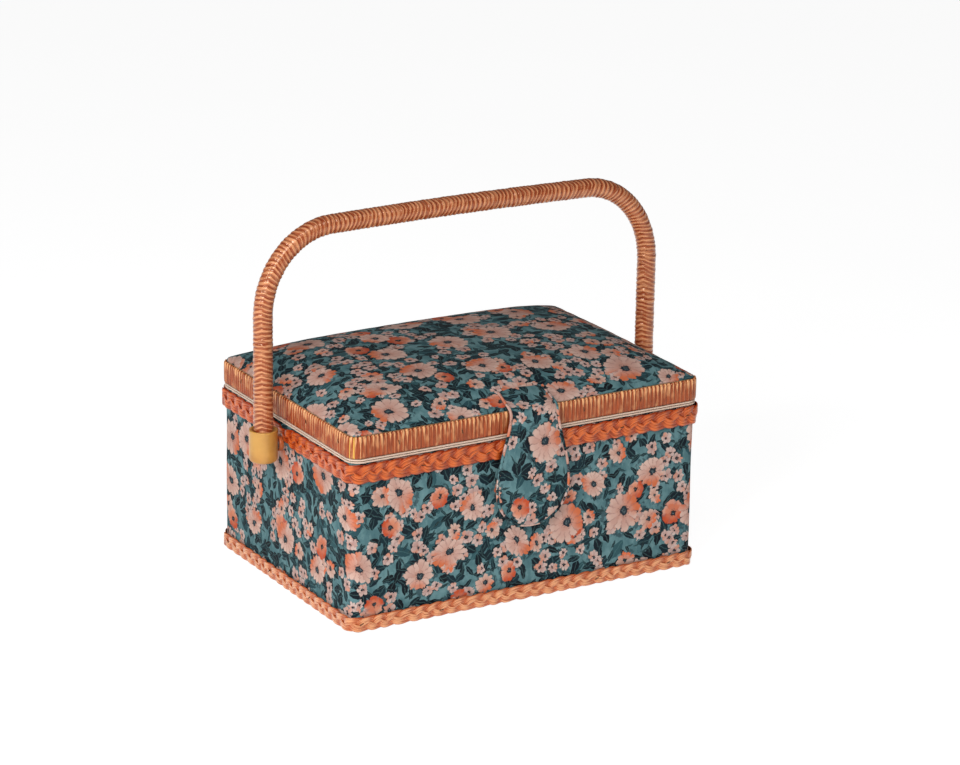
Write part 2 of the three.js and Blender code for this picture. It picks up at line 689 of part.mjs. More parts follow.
function ferrule(side) {
  const floor = FERRULE_BOTTOM + FERRULE_FLOOR;
  const profile = [
    [0, FERRULE_BOTTOM],
    [FERRULE_RADIUS - 2.4, FERRULE_BOTTOM],
    [FERRULE_RADIUS - 0.7, FERRULE_BOTTOM + 0.7],
    [FERRULE_RADIUS, FERRULE_BOTTOM + 2.4],
    [FERRULE_RADIUS, FERRULE_TOP - 0.6],
    [FERRULE_RADIUS - 0.6, FERRULE_TOP],
    [FERRULE_BORE, FERRULE_TOP],
    [FERRULE_BORE, floor],
    [0, floor],
  ].map(([radius, z]) => new THREE.Vector2(radius, z));
  const cup = new THREE.LatheGeometry(profile, 28).rotateX(Math.PI / 2);
  cup.translate(side * HANDLE_HALF_SPAN, 0, 0);
  const inner = side * (HANDLE_HALF_SPAN - FERRULE_RADIUS - 1);
  const ends = [inner, side * HANDLE_HALF_SPAN].sort((a, b) => a - b);
  return cut(cup, [cylinderAlongX(RIVET_RADIUS + CLEARANCE, ends[0], ends[1], 0, PIVOT_Z)]);
}

function pivotRivet(side) {
  const head = liningOuterX - RIVET_HEAD_THICK;
  const profile = [
    [0, head],
    [RIVET_HEAD_RADIUS, head],
    [RIVET_HEAD_RADIUS, liningOuterX],
    [RIVET_RADIUS, liningOuterX],
    [RIVET_RADIUS, liningOuterX + RIVET_LENGTH],
    [0, liningOuterX + RIVET_LENGTH],
  ].map(([radius, x]) => new THREE.Vector2(radius, x));
  const rivet = new THREE.LatheGeometry(profile, 20).rotateZ(-Math.PI / 2);
  return rivet.rotateZ(side < 0 ? Math.PI : 0).translate(0, 0, PIVOT_Z);
}

function pivotWasher(side) {
  const shape = circle(WASHER_RADIUS);
  shape.holes.push(circle(RIVET_RADIUS + CLEARANCE));
  const inner = braidInnerX + UPPER_BRAID_THICK + CLEARANCE;
  const outer = HANDLE_HALF_SPAN - FERRULE_RADIUS - CLEARANCE;
  const ends = [side * inner, side * outer].sort((a, b) => a - b);
  return extrudeAlongX(shape, ends[0], ends[1]).translate(0, 0, PIVOT_Z);
}

function addHandleFittings() {
  for (const [name, side] of [['left', -1], ['right', 1]]) {
    add(`ferrule_${name}`, ferrule(side), 'tanPlastic');
    add(`pivot_rivet_${name}`, pivotRivet(side), 'steel');
    add(`pivot_washer_${name}`, pivotWasher(side), 'tanPlastic');
  }
}

// ---------------------------------------------------------------- trays

function trayPockets(side, rows) {
  const nearX = TRAY_MIDDLE_GAP + TRAY_WALL;
  const farX = liningInnerX - TRAY_SIDE_GAP - TRAY_WALL;
  const halfY = liningInnerY - TRAY_SIDE_GAP - TRAY_WALL;
  const height = [TRAY_BOTTOM + TRAY_WALL, TRAY_TOP + 1];
  const depth = 2 * halfY - TRAY_WALL * (rows.length - 1);
  const pockets = [];
  let front = -halfY;
  for (const [share, count] of rows) {
    const back = front + depth * share;
    const width = (farX - nearX - TRAY_WALL * (count - 1)) / count;
    for (let column = 0; column < count; column += 1) {
      const start = nearX + column * (width + TRAY_WALL);
      const x = [side * start, side * (start + width)].sort((a, b) => a - b);
      pockets.push(block(x, [front, back], height));
    }
    front = back + TRAY_WALL;
  }
  return pockets;
}

function tray(side, rows) {
  const nearX = TRAY_MIDDLE_GAP;
  const farX = liningInnerX - TRAY_SIDE_GAP;
  const halfLength = (farX - nearX) / 2;
  const outline = roundedRectangle(halfLength, liningInnerY - TRAY_SIDE_GAP, TRAY_RADIUS);
  const shell = slab(outline, TRAY_BOTTOM, TRAY_TOP);
  shell.translate(side * (nearX + halfLength), 0, 0);
  const notchX = [side * (nearX - 1), side * (nearX + TRAY_WALL + 0.5)].sort((a, b) => a - b);
  const notchHalf = FINGER_NOTCH_WIDTH / 2;
  const notch = block(
    notchX, [-notchHalf, notchHalf], [TRAY_TOP - FINGER_NOTCH_DEPTH, TRAY_TOP + 1],
  );
  return cut(shell, [...trayPockets(side, rows), notch]);
}

function addTrays() {
  add('tray_left', tray(-1, LEFT_TRAY_ROWS), 'trayPlastic');
  add('tray_right', tray(1, RIGHT_TRAY_ROWS), 'trayPlastic');
}

// ---------------------------------------------------------------- build

addBase();
addWalls();
addCornerPosts();
addBodyCover();
addBodyTrims();
addBodyLining();
addLedges();
addSnapStud();
addHinges();
addLidFrame();
addLidTrims();
addLidPadding();
addLidInside();
addTab();
addHandle();
addHandleFittings();
addTrays();

export default sewingBox;
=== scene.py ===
from contextlib import contextmanager
import math

import bmesh
import bpy
import numpy as np
from mathutils import Matrix, Vector


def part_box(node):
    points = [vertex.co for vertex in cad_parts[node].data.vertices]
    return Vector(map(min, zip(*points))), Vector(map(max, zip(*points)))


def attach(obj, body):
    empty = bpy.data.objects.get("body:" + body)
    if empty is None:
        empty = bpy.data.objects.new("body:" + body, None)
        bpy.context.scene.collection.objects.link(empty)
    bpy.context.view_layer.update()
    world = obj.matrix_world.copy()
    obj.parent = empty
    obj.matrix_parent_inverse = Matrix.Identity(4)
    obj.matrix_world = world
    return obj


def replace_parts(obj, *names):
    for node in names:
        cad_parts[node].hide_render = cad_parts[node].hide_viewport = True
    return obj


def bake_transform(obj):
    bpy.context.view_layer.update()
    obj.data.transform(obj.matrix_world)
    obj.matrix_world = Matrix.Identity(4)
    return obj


# A cloth-covered sewing box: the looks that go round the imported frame.
# Metres, +Z up, front face towards -Y, as the frame is.

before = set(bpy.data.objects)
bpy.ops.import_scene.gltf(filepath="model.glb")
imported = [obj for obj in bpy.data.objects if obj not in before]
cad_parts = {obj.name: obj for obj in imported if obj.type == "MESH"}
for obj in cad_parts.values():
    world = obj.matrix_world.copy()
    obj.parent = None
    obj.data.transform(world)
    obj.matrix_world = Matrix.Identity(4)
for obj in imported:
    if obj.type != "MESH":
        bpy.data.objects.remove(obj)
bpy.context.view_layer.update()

MM = 0.001
CLUMP_FREQUENCY = 0.035  # how closely clumps of small motifs follow each other, per millimetre
HEIGHT, TINT = "height", "tint"  # how proud a point of a strand is, 0 to 1, which the strand material paints shade and highlights from, and its odd colour
MAP = "surface"  # the UV map that holds each piece's own surface coordinates, in metres
rng = np.random.default_rng(11)

# ------------------------------------------------------------------ sizes from the frame

RIM_LOW, RIM_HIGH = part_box("lid_rim_wrap")
COVER_LOW, COVER_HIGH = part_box("outer_fabric")
DOME_LOW, DOME_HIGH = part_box("lid_cover")
WRAP_LOW, WRAP_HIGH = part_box("handle_wrap")
TAB_LOW, TAB_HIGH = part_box("tab_flap")

RIM_RADIUS = 8.5 * MM
COVER_RADIUS = 7 * MM
COVER_THICK = 0.8 * MM
PLAIT_PERIOD = 30 * MM
UPPER_BRAID_THICK = 2.7 * MM
LOWER_BRAID_THICK = 2.2 * MM


# ------------------------------------------------------------------ camera, lights, floor


def add_camera():
    """The camera stands front left of the box and a little above it, with a long lens."""
    azimuth, elevation, roll = math.radians(-30.7), math.radians(18.25), math.radians(0.92)
    distance, aim_height = 2.34, 0.0648
    across, above = 0.0146, 0.0529
    back = Vector((
        math.sin(azimuth) * math.cos(elevation),
        -math.cos(azimuth) * math.cos(elevation),
        math.sin(elevation),
    ))
    level_right = Vector((math.cos(azimuth), math.sin(azimuth), 0))
    level_up = level_right.cross(-back)
    right = level_right * math.cos(roll) + level_up * math.sin(roll)
    up = level_up * math.cos(roll) - level_right * math.sin(roll)
    data = bpy.data.cameras.new("camera")
    data.sensor_width = 36
    data.lens = 132.5
    data.clip_start, data.clip_end = 0.05, 50
    camera = bpy.data.objects.new("camera", data)
    bpy.context.scene.collection.objects.link(camera)
    place = Vector((0, 0, aim_height)) + back * distance + right * across + up * above
    camera.matrix_world = Matrix.Translation(place) @ Matrix((right, up, back)).transposed().to_4x4()
    bpy.context.scene.camera = camera


LIGHT_TARGET = Vector((0, 0, 0.1))


def add_area_light(name, place, size, power):
    """A round area light, turned to the middle of the box."""
    data = bpy.data.lights.new(name, "AREA")
    data.shape = "DISK"
    data.size = size
    data.energy = power
    light = bpy.data.objects.new(name, data)
    light.location = place
    light.rotation_euler = (LIGHT_TARGET - Vector(place)).to_track_quat("-Z", "Y").to_euler()
    bpy.context.scene.collection.objects.link(light)


def add_lights():
    """Three lights on the left and in front, and an even, weak white world."""
    add_area_light("key_front_left", (-0.95, -0.8, 0.66), 0.36, 7.6)
    add_area_light("glint_left", (-1.7, -0.3, 0.9), 0.25, 7)
    add_area_light("front_top", (-0.4, -1.0, 1.35), 0.5, 7.4)
    world = bpy.data.worlds.new("studio")
    bpy.context.scene.world = world
    world.use_nodes = True
    world.node_tree.nodes["Background"].inputs["Color"].default_value = (1, 1, 1, 1)
    world.node_tree.nodes["Background"].inputs["Strength"].default_value = 0.12
    bpy.context.scene.view_settings.view_transform = "Standard"


# ------------------------------------------------------------------ shader building


def srgb(red, green, blue):
    """A colour given in 0 to 255 display values, as linear light with alpha."""
    linear = [
        value / 12.92 if value <= 0.04045 else ((value + 0.055) / 1.055) ** 2.4
        for value in (red / 255, green / 255, blue / 255)
    ]
    return (*linear, 1)


class Nodes:
    """Short names for the nodes that the materials are made of."""

    def __init__(self, tree):
        self.tree = tree

    def feed(self, socket, value):
        if isinstance(value, bpy.types.NodeSocket):
            self.tree.links.new(value, socket)
        elif value is not None:
            socket.default_value = value

    def add(self, kind, inputs=None, **settings):
        node = self.tree.nodes.new("ShaderNode" + kind)
        for name, value in settings.items():
            setattr(node, name, value)
        for name, value in (inputs or {}).items():
            self.feed(node.inputs[name], value)
        return node

    def group(self, tree, **inputs):
        node = self.add("Group", node_tree=tree)
        for name, value in inputs.items():
            self.feed(node.inputs[name], value)
        return node.outputs

    def math(self, operation, *values):
        node = self.add("Math", operation=operation)
        for socket, value in zip(node.inputs, values):
            self.feed(socket, value)
        return node.outputs[0]

    def plus(self, first, second):
        return self.math("ADD", first, second)

    def minus(self, first, second):
        return self.math("SUBTRACT", first, second)

    def times(self, first, second):
        return self.math("MULTIPLY", first, second)

    def over(self, first, second):
        """first divided by second."""
        return self.math("DIVIDE", first, second)

    def line(self, value, slope, start):
        """value times slope, plus start."""
        return self.math("MULTIPLY_ADD", value, slope, start)

    def absolute(self, value):
        return self.math("ABSOLUTE", value)

    def vector(self, operation, *values):
        node = self.add("VectorMath", operation=operation)
        for socket, value in zip(node.inputs, values):
            self.feed(socket, value)
        return node.outputs["Value" if operation == "LENGTH" else "Vector"]

    def length(self, x, y):
        return self.vector("LENGTH", self.combine(x, y))

    def stretch(self, vector, factors):
        return self.vector("MULTIPLY", vector, factors)

    def scale(self, vector, factor):
        return self.add("VectorMath", {0: vector, "Scale": factor}, operation="SCALE").outputs["Vector"]

    def combine(self, x=0.0, y=0.0, z=0.0):
        return self.add("CombineXYZ", {"X": x, "Y": y, "Z": z}).outputs[0]

    def separate(self, vector):
        return self.add("SeparateXYZ", {0: vector}).outputs

    def noise(self, vector, scale, detail=2.0, roughness=0.5, dimensions="2D", output=0):
        inputs = {"Vector": vector, "Scale": scale, "Detail": detail, "Roughness": roughness}
        return self.add("TexNoise", inputs, noise_dimensions=dimensions).outputs[output]

    def step(self, value, low, high):
        """0 below low, 1 above high, smooth between; falls instead if low is above high."""
        if low > high:
            inputs = {"From Min": high, "From Max": low, "To Min": 1.0, "To Max": 0.0}
        else:
            inputs = {"From Min": low, "From Max": high}
        inputs = {"Value": value, **inputs}
        return self.add("MapRange", inputs, interpolation_type="SMOOTHSTEP").outputs[0]

    def mix(self, factor, first, second):
        node = self.add("Mix", data_type="RGBA")
        for index, value in ((0, factor), (6, first), (7, second)):
            self.feed(node.inputs[index], value)
        return node.outputs[2]

    def marked(self, colour, paint, value, low, high, share):
        """The colour with some of the paint laid over it where the value steps up."""
        return self.mix(self.times(self.step(value, low, high), share), colour, paint)

    def bump(self, height, strength, distance, normal=None):
        inputs = {"Height": height, "Strength": strength, "Distance": distance, "Normal": normal}
        return self.add("Bump", inputs).outputs[0]

    def surface(self):
        """The piece's own surface coordinates, in millimetres."""
        return self.scale(self.add("UVMap", uv_map=MAP).outputs[0], 1000.0)

    def place(self):
        """The point in the piece's own space, in millimetres."""
        return self.scale(self.add("TexCoord").outputs["Object"], 1000.0)

    def finish(self, colour, normal, roughness=None):
        """Feeds the Principled shader."""
        shader = self.tree.nodes["Principled BSDF"]
        self.feed(shader.inputs["Base Color"], colour)
        self.feed(shader.inputs["Roughness"], roughness)
        self.feed(shader.inputs["Normal"], normal)


def new_material(name, **constants):
    """A material with its Principled shader's constant values set, and a Nodes helper for it."""
    material = bpy.data.materials.new(name)
    material.use_nodes = True
    shader = material.node_tree.nodes["Principled BSDF"]
    for socket, value in constants.items():
        shader.inputs[socket.replace("_", " ")].default_value = value
    return material, Nodes(material.node_tree)


def group_tree(name, inputs, outputs):
    """A node group's helper, inputs and outputs. A default of None marks a vector input."""
    tree = bpy.data.node_groups.new(name, "ShaderNodeTree")
    for label, default in inputs.items():
        kind = "NodeSocketVector" if default is None else "NodeSocketFloat"
        socket = tree.interface.new_socket(label, in_out="INPUT", socket_type=kind)
        if default is not None:
            socket.default_value = default
    for label in outputs:
        tree.interface.new_socket(label, in_out="OUTPUT", socket_type="NodeSocketFloat")
    given, made = tree.nodes.new("NodeGroupInput"), tree.nodes.new("NodeGroupOutput")
    return Nodes(tree), given.outputs, made.inputs


# ------------------------------------------------------------------ flowered print


def scattered_motif(nodes, given):
    """Shared start of the print motifs: place in the nearest cell, and its random values."""
    cell, seed = given["Cell"], given["Seed"]
    spread = nodes.vector("DIVIDE", given["Vector"], nodes.combine(cell, cell, 1.0))
    shifted = nodes.vector("ADD", spread, nodes.combine(seed, seed, 0.0))
    inputs = {"Vector": shifted, "Scale": 1.0, "Randomness": given["Jitter"]}
    cells = nodes.add("TexVoronoi", inputs, voronoi_dimensions="2D").outputs
    away = nodes.vector("SUBTRACT", shifted, cells["Position"])
    local = nodes.stretch(away, nodes.combine(cell, cell, 0.0))
    turn, size, count = nodes.separate(cells["Color"])
    # a second random value, mixed from the other two
    chance = nodes.math("FRACT", nodes.line(turn, 7.31, nodes.times(size, 5.7)))
    frequency = nodes.times(cell, CLUMP_FREQUENCY)
    clump = nodes.step(nodes.noise(cells["Position"], frequency, 1.0), 0.42, 0.56)
    kept = nodes.minus(1.0, nodes.times(given["Clumped"], nodes.minus(1.0, clump)))
    present = nodes.math("LESS_THAN", chance, nodes.times(given["Density"], kept))
    angle = nodes.times(turn, math.tau)
    x, y, _ = nodes.separate(local)
    cosine, sine = nodes.math("COSINE", angle), nodes.math("SINE", angle)
    along = nodes.plus(nodes.times(x, cosine), nodes.times(y, sine))
    across = nodes.minus(nodes.times(y, cosine), nodes.times(x, sine))
    return along, across, turn, size, count, present


def flower_group():
    """Many-petalled flowers, one to a cell, some seen from the side and so flattened."""
    nodes, given, made = group_tree("print_flower", {
        "Vector": None, "Cell": 40.0, "Radius": 12.0, "Petals": 12.0, "Notch": 0.3,
        "Density": 1.0, "Seed": 0.0, "Jitter": 0.5, "Clumped": 0.0,
    }, ["Mask", "Halo", "Radial", "Eye", "Petal", "Blush", "Tone", "Petal tone"])
    along, across, turn, size, count, present = scattered_motif(nodes, given)
    flatten = nodes.line(nodes.math("POWER", count, 3.0), 0.55, 1.0)
    across = nodes.times(across, flatten)
    distance = nodes.length(along, across)
    radius = nodes.times(given["Radius"], nodes.line(size, 0.32, 0.82))
    angle = nodes.math("ARCTAN2", across, along)
    petals = nodes.math("FLOOR", nodes.line(count, 3.0, given["Petals"]))
    turns = nodes.over(nodes.times(petals, angle), math.tau)
    number = nodes.math("FLOORED_MODULO", nodes.math("FLOOR", nodes.plus(turns, 0.5)), petals)
    petal_place = {"Vector": nodes.combine(number, turn)}
    own = nodes.add("TexWhiteNoise", petal_place, noise_dimensions="2D").outputs[0]
    lobes = nodes.absolute(nodes.math("COSINE", nodes.times(turns, math.pi)))
    petal = nodes.math("POWER", lobes, 0.6)
    notch = nodes.times(given["Notch"], nodes.minus(1.0, petal))
    reach = nodes.times(radius, nodes.line(own, 0.2, 0.86))
    edge = nodes.times(reach, nodes.minus(1.0, notch))
    inside = nodes.step(nodes.minus(edge, distance), -0.3, 0.3)
    near = nodes.step(nodes.minus(nodes.times(radius, 1.3), distance), -0.4, 0.8)
    side = nodes.math("COSINE", nodes.plus(angle, nodes.times(count, 3.0)))
    nodes.feed(made["Mask"], nodes.times(inside, present))
    nodes.feed(made["Halo"], nodes.times(near, present))
    nodes.feed(made["Radial"], nodes.over(distance, edge))
    shifted = nodes.minus(along, nodes.times(radius, 0.1))
    nodes.feed(made["Eye"], nodes.over(nodes.length(shifted, across), radius))
    nodes.feed(made["Petal"], petal)
    nodes.feed(made["Blush"], nodes.line(side, 0.5, 0.5))
    nodes.feed(made["Tone"], size)
    nodes.feed(made["Petal tone"], own)
    return nodes.tree


def leaf_group():
    """Pointed leaves with a middle vein, one to a cell."""
    nodes, given, made = group_tree("print_leaf", {
        "Vector": None, "Cell": 12.0, "Length": 5.0, "Width": 2.0, "Density": 0.8,
        "Seed": 0.0, "Jitter": 0.9, "Clumped": 0.0,
    }, ["Mask", "Vein", "Tone"])
    along, across, _, size, count, present = scattered_motif(nodes, given)
    share = nodes.over(along, given["Length"])
    belly = nodes.minus(1.0, nodes.times(share, share))
    grown = nodes.times(given["Width"], nodes.line(size, 0.7, 0.6))
    half_width = nodes.times(belly, grown)
    room = nodes.minus(half_width, nodes.absolute(across))
    nodes.feed(made["Mask"], nodes.times(nodes.step(room, -0.1, 0.2), present))
    nodes.feed(made["Vein"], nodes.step(nodes.absolute(across), 0.4, 0.1))
    nodes.feed(made["Tone"], count)
    return nodes.tree


def paint_flower(nodes, ground, flower, speckle, petal, shade, blush, eye, blush_from):
    """A painted flower over the ground colour: toned and blushed petals, their gaps, a dark eye."""
    radial = flower["Radial"]
    colour = nodes.mix(nodes.times(flower["Petal tone"], 0.6), petal, shade)
    colour = nodes.mix(nodes.times(flower["Tone"], 0.35), colour, shade)
    colour = nodes.marked(colour, srgb(216, 192, 178), radial, 0.6, 0.95, 0.35)  # pale tips
    blushed = nodes.line(flower["Petal tone"], 0.25, flower["Blush"])
    blushed = nodes.step(blushed, blush_from, blush_from + 0.3)
    outer = nodes.line(nodes.step(radial, 0.35, 0.85), 0.65, 0.35)
    colour = nodes.mix(nodes.times(blushed, outer), colour, blush)
    colour = nodes.marked(colour, srgb(176, 112, 92), radial, 0.55, 0.25, 0.35)  # throat
    gap = nodes.times(nodes.step(flower["Petal"], 0.72, 0.1), nodes.step(radial, 0.35, 0.7))
    colour = nodes.mix(nodes.times(gap, 0.6), colour, srgb(150, 104, 100))
    ring = nodes.times(nodes.step(flower["Eye"], 0.36, 0.3), nodes.step(speckle, 0.56, 0.64))
    colour = nodes.mix(nodes.times(ring, 0.8), colour, srgb(70, 60, 60))
    colour = nodes.mix(nodes.step(flower["Eye"], 0.25, 0.2), colour, eye)
    glint = nodes.times(nodes.step(flower["Eye"], 0.17, 0.06), nodes.step(speckle, 0.42, 0.56))
    colour = nodes.mix(nodes.times(glint, 0.4), colour, srgb(130, 146, 148))
    return nodes.mix(flower["Mask"], ground, colour)


def printed_ground(nodes, mm, painted):
    """The teal ground of the print with its brush marks."""
    patches = nodes.noise(mm, 0.07, 3.0)
    colour = nodes.mix(nodes.step(patches, 0.35, 0.65), srgb(76, 112, 117), srgb(98, 134, 138))
    strokes = nodes.noise(nodes.stretch(painted, (1.0, 0.4, 1.0)), 0.35, 2.0)
    colour = nodes.marked(colour, srgb(60, 96, 103), strokes, 0.5, 0.68, 0.35)
    return nodes.marked(colour, srgb(116, 148, 150), strokes, 0.42, 0.3, 0.35)


FLOWERS = {  # the node group's inputs for each kind of flower
    "daisies": {"Cell": 43.0, "Radius": 12.8, "Petals": 12.0, "Notch": 0.17, "Density": 0.95,
                "Seed": 3.37, "Jitter": 0.6},
    "poppies": {"Cell": 50.0, "Radius": 7.8, "Petals": 5.0, "Notch": 0.1, "Density": 0.9,
                "Seed": 17.81, "Jitter": 0.7},
    "middling": {"Cell": 25.0, "Radius": 6.6, "Petals": 8.0, "Notch": 0.28, "Density": 0.4,
                 "Seed": 8.13, "Jitter": 0.8},
    "blossoms": {"Cell": 9.4, "Radius": 4.7, "Petals": 5.0, "Notch": 0.36, "Density": 0.9,
                 "Seed": 29.4, "Jitter": 0.85, "Clumped": 1.0},
}
PAINTS = {  # petal, shade, blush and eye colours, and where the blush starts, lowest flowers first
    "blossoms": ((204, 182, 174), (164, 124, 116), (204, 140, 116), (30, 28, 34), 0.85),
    "middling": ((206, 176, 162), (186, 134, 114), (214, 112, 72), (30, 42, 50), 0.72),
    "poppies": ((214, 144, 114), (194, 98, 66), (190, 80, 48), (30, 28, 34), 0.45),
    "daisies": ((208, 174, 160), (184, 138, 124), (202, 108, 70), (30, 42, 50), 0.8),
}
LEAVES = (  # cell, length, width, density, clumped, seed, dark and light colours
    (15.0, 7.5, 3.2, 0.7, 0.6, 41.3, (34, 64, 72), (50, 86, 92)),
    (9.0, 5.6, 2.6, 1.0, 0.6, 5.9, (8, 14, 22), (18, 36, 44)),
    (9.0, 5.2, 2.2, 0.9, 0.45, 87.2, (8, 16, 26), (22, 46, 54)),
    (6.5, 3.8, 0.9, 0.75, 0.2, 63.7, (8, 16, 24), (24, 46, 54)),
)


def printed_colour(nodes, mm):
    """The flowered print: teal ground, leaves, blossoms, poppies and daisies, as a colour."""
    wobble = nodes.noise(mm, 0.4, 2.0, output="Color")
    centred = nodes.vector("SUBTRACT", wobble, (0.5, 0.5, 0.5))
    painted = nodes.vector("ADD", mm, nodes.scale(centred, 3.0))
    drawn = nodes.vector("ADD", mm, nodes.scale(centred, 1.4))
    speckle = nodes.noise(mm, 1.1, 1.0)
    flower_tree, leaf_tree = flower_group(), leaf_group()
    colour = printed_ground(nodes, mm, painted)
    flowers = {
        kind: nodes.group(flower_tree, Vector=painted, **inputs) for kind, inputs in FLOWERS.items()
    }
    foliage = nodes.step(nodes.noise(painted, 0.3, 2.0), 0.47, 0.53)
    halo = nodes.math("MAXIMUM", flowers["daisies"]["Halo"], flowers["poppies"]["Halo"])
    for kind, share in (("middling", 0.8), ("blossoms", 0.9)):
        halo = nodes.math("MAXIMUM", halo, nodes.times(flowers[kind]["Halo"], share))
    colour = nodes.mix(nodes.times(nodes.times(halo, foliage), 0.6), colour, srgb(22, 34, 44))
    for cell, length, width, density, clumped, seed, dark, light in LEAVES:
        leaves = nodes.group(
            leaf_tree, Vector=drawn, Cell=cell, Length=length, Width=width,
            Density=density, Seed=seed, Jitter=0.95, Clumped=clumped,
        )
        leaf_colour = nodes.mix(leaves["Tone"], srgb(*dark), srgb(*light))
        veined = nodes.mix(nodes.times(leaves["Vein"], 0.3), leaf_colour, srgb(92, 132, 130))
        colour = nodes.mix(leaves["Mask"], colour, veined)
    for kind, (*paints, blush_from) in PAINTS.items():
        paints = [srgb(*paint) for paint in paints]
        colour = paint_flower(nodes, colour, flowers[kind], speckle, *paints, blush_from)
    worn = nodes.noise(mm, 1.6, 4.0, 0.7)
    return nodes.mix(nodes.step(worn, 0.55, 0.8), colour, nodes.mix(0.06, colour, srgb(200, 190, 180)))


# ------------------------------------------------------------------ materials


def weave_height(nodes, mm, pitch):
    """Height of a plain weave of threads, pitch millimetres apart."""
    x, y, _ = nodes.separate(nodes.scale(mm, math.pi / pitch))
    warp = nodes.absolute(nodes.math("SINE", x))
    weft = nodes.absolute(nodes.math("SINE", y))
    above = nodes.math("GREATER_THAN", nodes.math("SINE", nodes.plus(x, y)), 0.0)
    return nodes.plus(nodes.times(warp, above), nodes.times(weft, 0.8))


def printed_cloth():
    """Cotton cloth with the flowered print and a fine weave."""
    material, nodes = new_material(
        "printed_cloth", Roughness=0.8, Sheen_Weight=0.02, Sheen_Roughness=0.4, Specular_IOR_Level=0.15,
    )
    mm = nodes.surface()
    colour = printed_colour(nodes, mm)
    slack = nodes.noise(mm, 0.05, 3.0)
    normal = nodes.bump(slack, 0.25, 0.002)
    nodes.finish(colour, nodes.bump(weave_height(nodes, mm, 0.42), 0.35, 0.00012, normal))
    return material


def strand_material(name, gap, deep, body, light, shine):
    """Glossy coloured plastic strand, with painted shade in its gaps and painted highlights on its
    crests. Its fibres run along the map's u axis.
    """
    material, nodes = new_material(
        name, Coat_Weight=shine, Specular_IOR_Level=0.75, Specular_Tint=srgb(255, 214, 170),
        Coat_Roughness=0.2,
    )
    mm = nodes.surface()
    height = nodes.add("Attribute", attribute_name=HEIGHT).outputs["Fac"]
    tint = nodes.add("Attribute", attribute_name=TINT).outputs["Fac"]
    fibres = nodes.noise(nodes.stretch(mm, (0.08, 1.0, 1.0)), 1.1, 2.0, 0.6)
    uneven = nodes.noise(nodes.stretch(mm, (0.4, 1.0, 1.0)), 0.25, 2.0)
    colour = nodes.mix(nodes.step(fibres, 0.32, 0.68), srgb(*deep), srgb(*body))
    colour = nodes.marked(colour, srgb(*light), uneven, 0.5, 0.75, 0.3)
    # painted highlight: the light colour laid on the proudest crests
    painted_crest_highlight = nodes.times(nodes.step(height, 0.72, 0.98), nodes.step(fibres, 0.25, 0.55))
    colour = nodes.mix(nodes.times(painted_crest_highlight, 0.75), colour, srgb(*light))
    colour = nodes.mix(nodes.step(tint, 0.2, 0.9), colour, srgb(236, 186, 84))
    # painted shade: the gap colour laid where the strand's relief is lowest, between strands and fibres
    colour = nodes.mix(nodes.step(height, 0.5, 0.02), colour, srgb(*gap))
    nodes.finish(colour, nodes.bump(fibres, 0.4, 0.00015), nodes.line(fibres, 0.22, 0.18))
    return material


def cord_material():
    """Fuzzy, slightly soiled cream cotton."""
    material, nodes = new_material("cream_cord", Roughness=0.75, Sheen_Weight=0.2)
    mm = nodes.surface()
    fuzz = nodes.noise(mm, 2.6, 4.0, 0.7)
    soiled = nodes.noise(mm, 0.12, 3.0)
    colour = nodes.mix(nodes.step(fuzz, 0.3, 0.7), srgb(196, 158, 134), srgb(240, 222, 204))
    colour = nodes.marked(colour, srgb(206, 160, 128), soiled, 0.5, 0.75, 0.4)
    nodes.finish(colour, nodes.bump(fuzz, 0.5, 0.0003))
    return material


def satin_material(name, light, shade):
    """Satin: threads along the map's u axis, and soft folds with painted light and shade on them."""
    material, nodes = new_material(
        name, Roughness=0.38, Sheen_Weight=0.35, Sheen_Roughness=0.3, Anisotropic=0.5,
    )
    mm = nodes.surface()
    threads = nodes.noise(nodes.stretch(mm, (0.08, 1.0, 1.0)), 3.0, 3.0)
    folds = nodes.noise(mm, 0.045, 3.0)
    # painted light and shade: the light colour on the folds' crests, the shade colour in their hollows
    colour = nodes.mix(nodes.step(folds, 0.3, 0.7), srgb(*shade), srgb(*light))
    colour = nodes.mix(nodes.times(threads, 0.25), colour, srgb(*shade))
    normal = nodes.bump(folds, 0.3, 0.002)
    nodes.finish(colour, nodes.bump(threads, 0.25, 0.0002, normal), nodes.line(threads, 0.2, 0.28))
    return material


def plastic_material(name, body, pale, subsurface=0.0):
    """Moulded plastic with faint flow marks, scuffs and a fine grain."""
    material, nodes = new_material(name, Specular_IOR_Level=0.5, Subsurface_Weight=subsurface)
    mm = nodes.place()
    flow = nodes.noise(mm, 0.07, 3.0, dimensions="3D")
    grain = nodes.noise(mm, 2.2, 3.0, dimensions="3D")
    scuffs = nodes.noise(nodes.stretch(mm, (1.0, 0.2, 3.0)), 0.6, 5.0, 0.8, "3D")
    colour = nodes.mix(nodes.step(flow, 0.3, 0.7), srgb(*body), srgb(*pale))
    rough = nodes.line(nodes.step(scuffs, 0.5, 0.7), 0.22, 0.3)
    nodes.finish(colour, nodes.bump(grain, 0.12, 0.0002), rough)
    return material


def metal_material(name, body, worn, metallic=1.0):
    """Brushed metal with tarnished patches."""
    material, nodes = new_material(name, Metallic=metallic)
    mm = nodes.place()
    brushed = nodes.noise(nodes.stretch(mm, (0.1, 1.0, 4.0)), 1.4, 4.0, 0.6, "3D")
    tarnish = nodes.noise(mm, 0.25, 4.0, dimensions="3D")
    colour = nodes.mix(nodes.step(tarnish, 0.45, 0.75), srgb(*body), srgb(*worn))
    nodes.finish(colour, nodes.bump(brushed, 0.15, 0.0001), nodes.line(brushed, 0.3, 0.2))
    return material


def grained_material(name, dark, light, stretch, roughness):
    """Board, wood and wadding: fibres stretched along one axis."""
    material, nodes = new_material(name, Roughness=roughness)
    fibres = nodes.noise(nodes.stretch(nodes.place(), stretch), 0.5, 5.0, 0.65, "3D")
    colour = nodes.mix(nodes.step(fibres, 0.3, 0.7), srgb(*dark), srgb(*light))
    nodes.finish(colour, nodes.bump(fibres, 0.4, 0.0004))
    return material


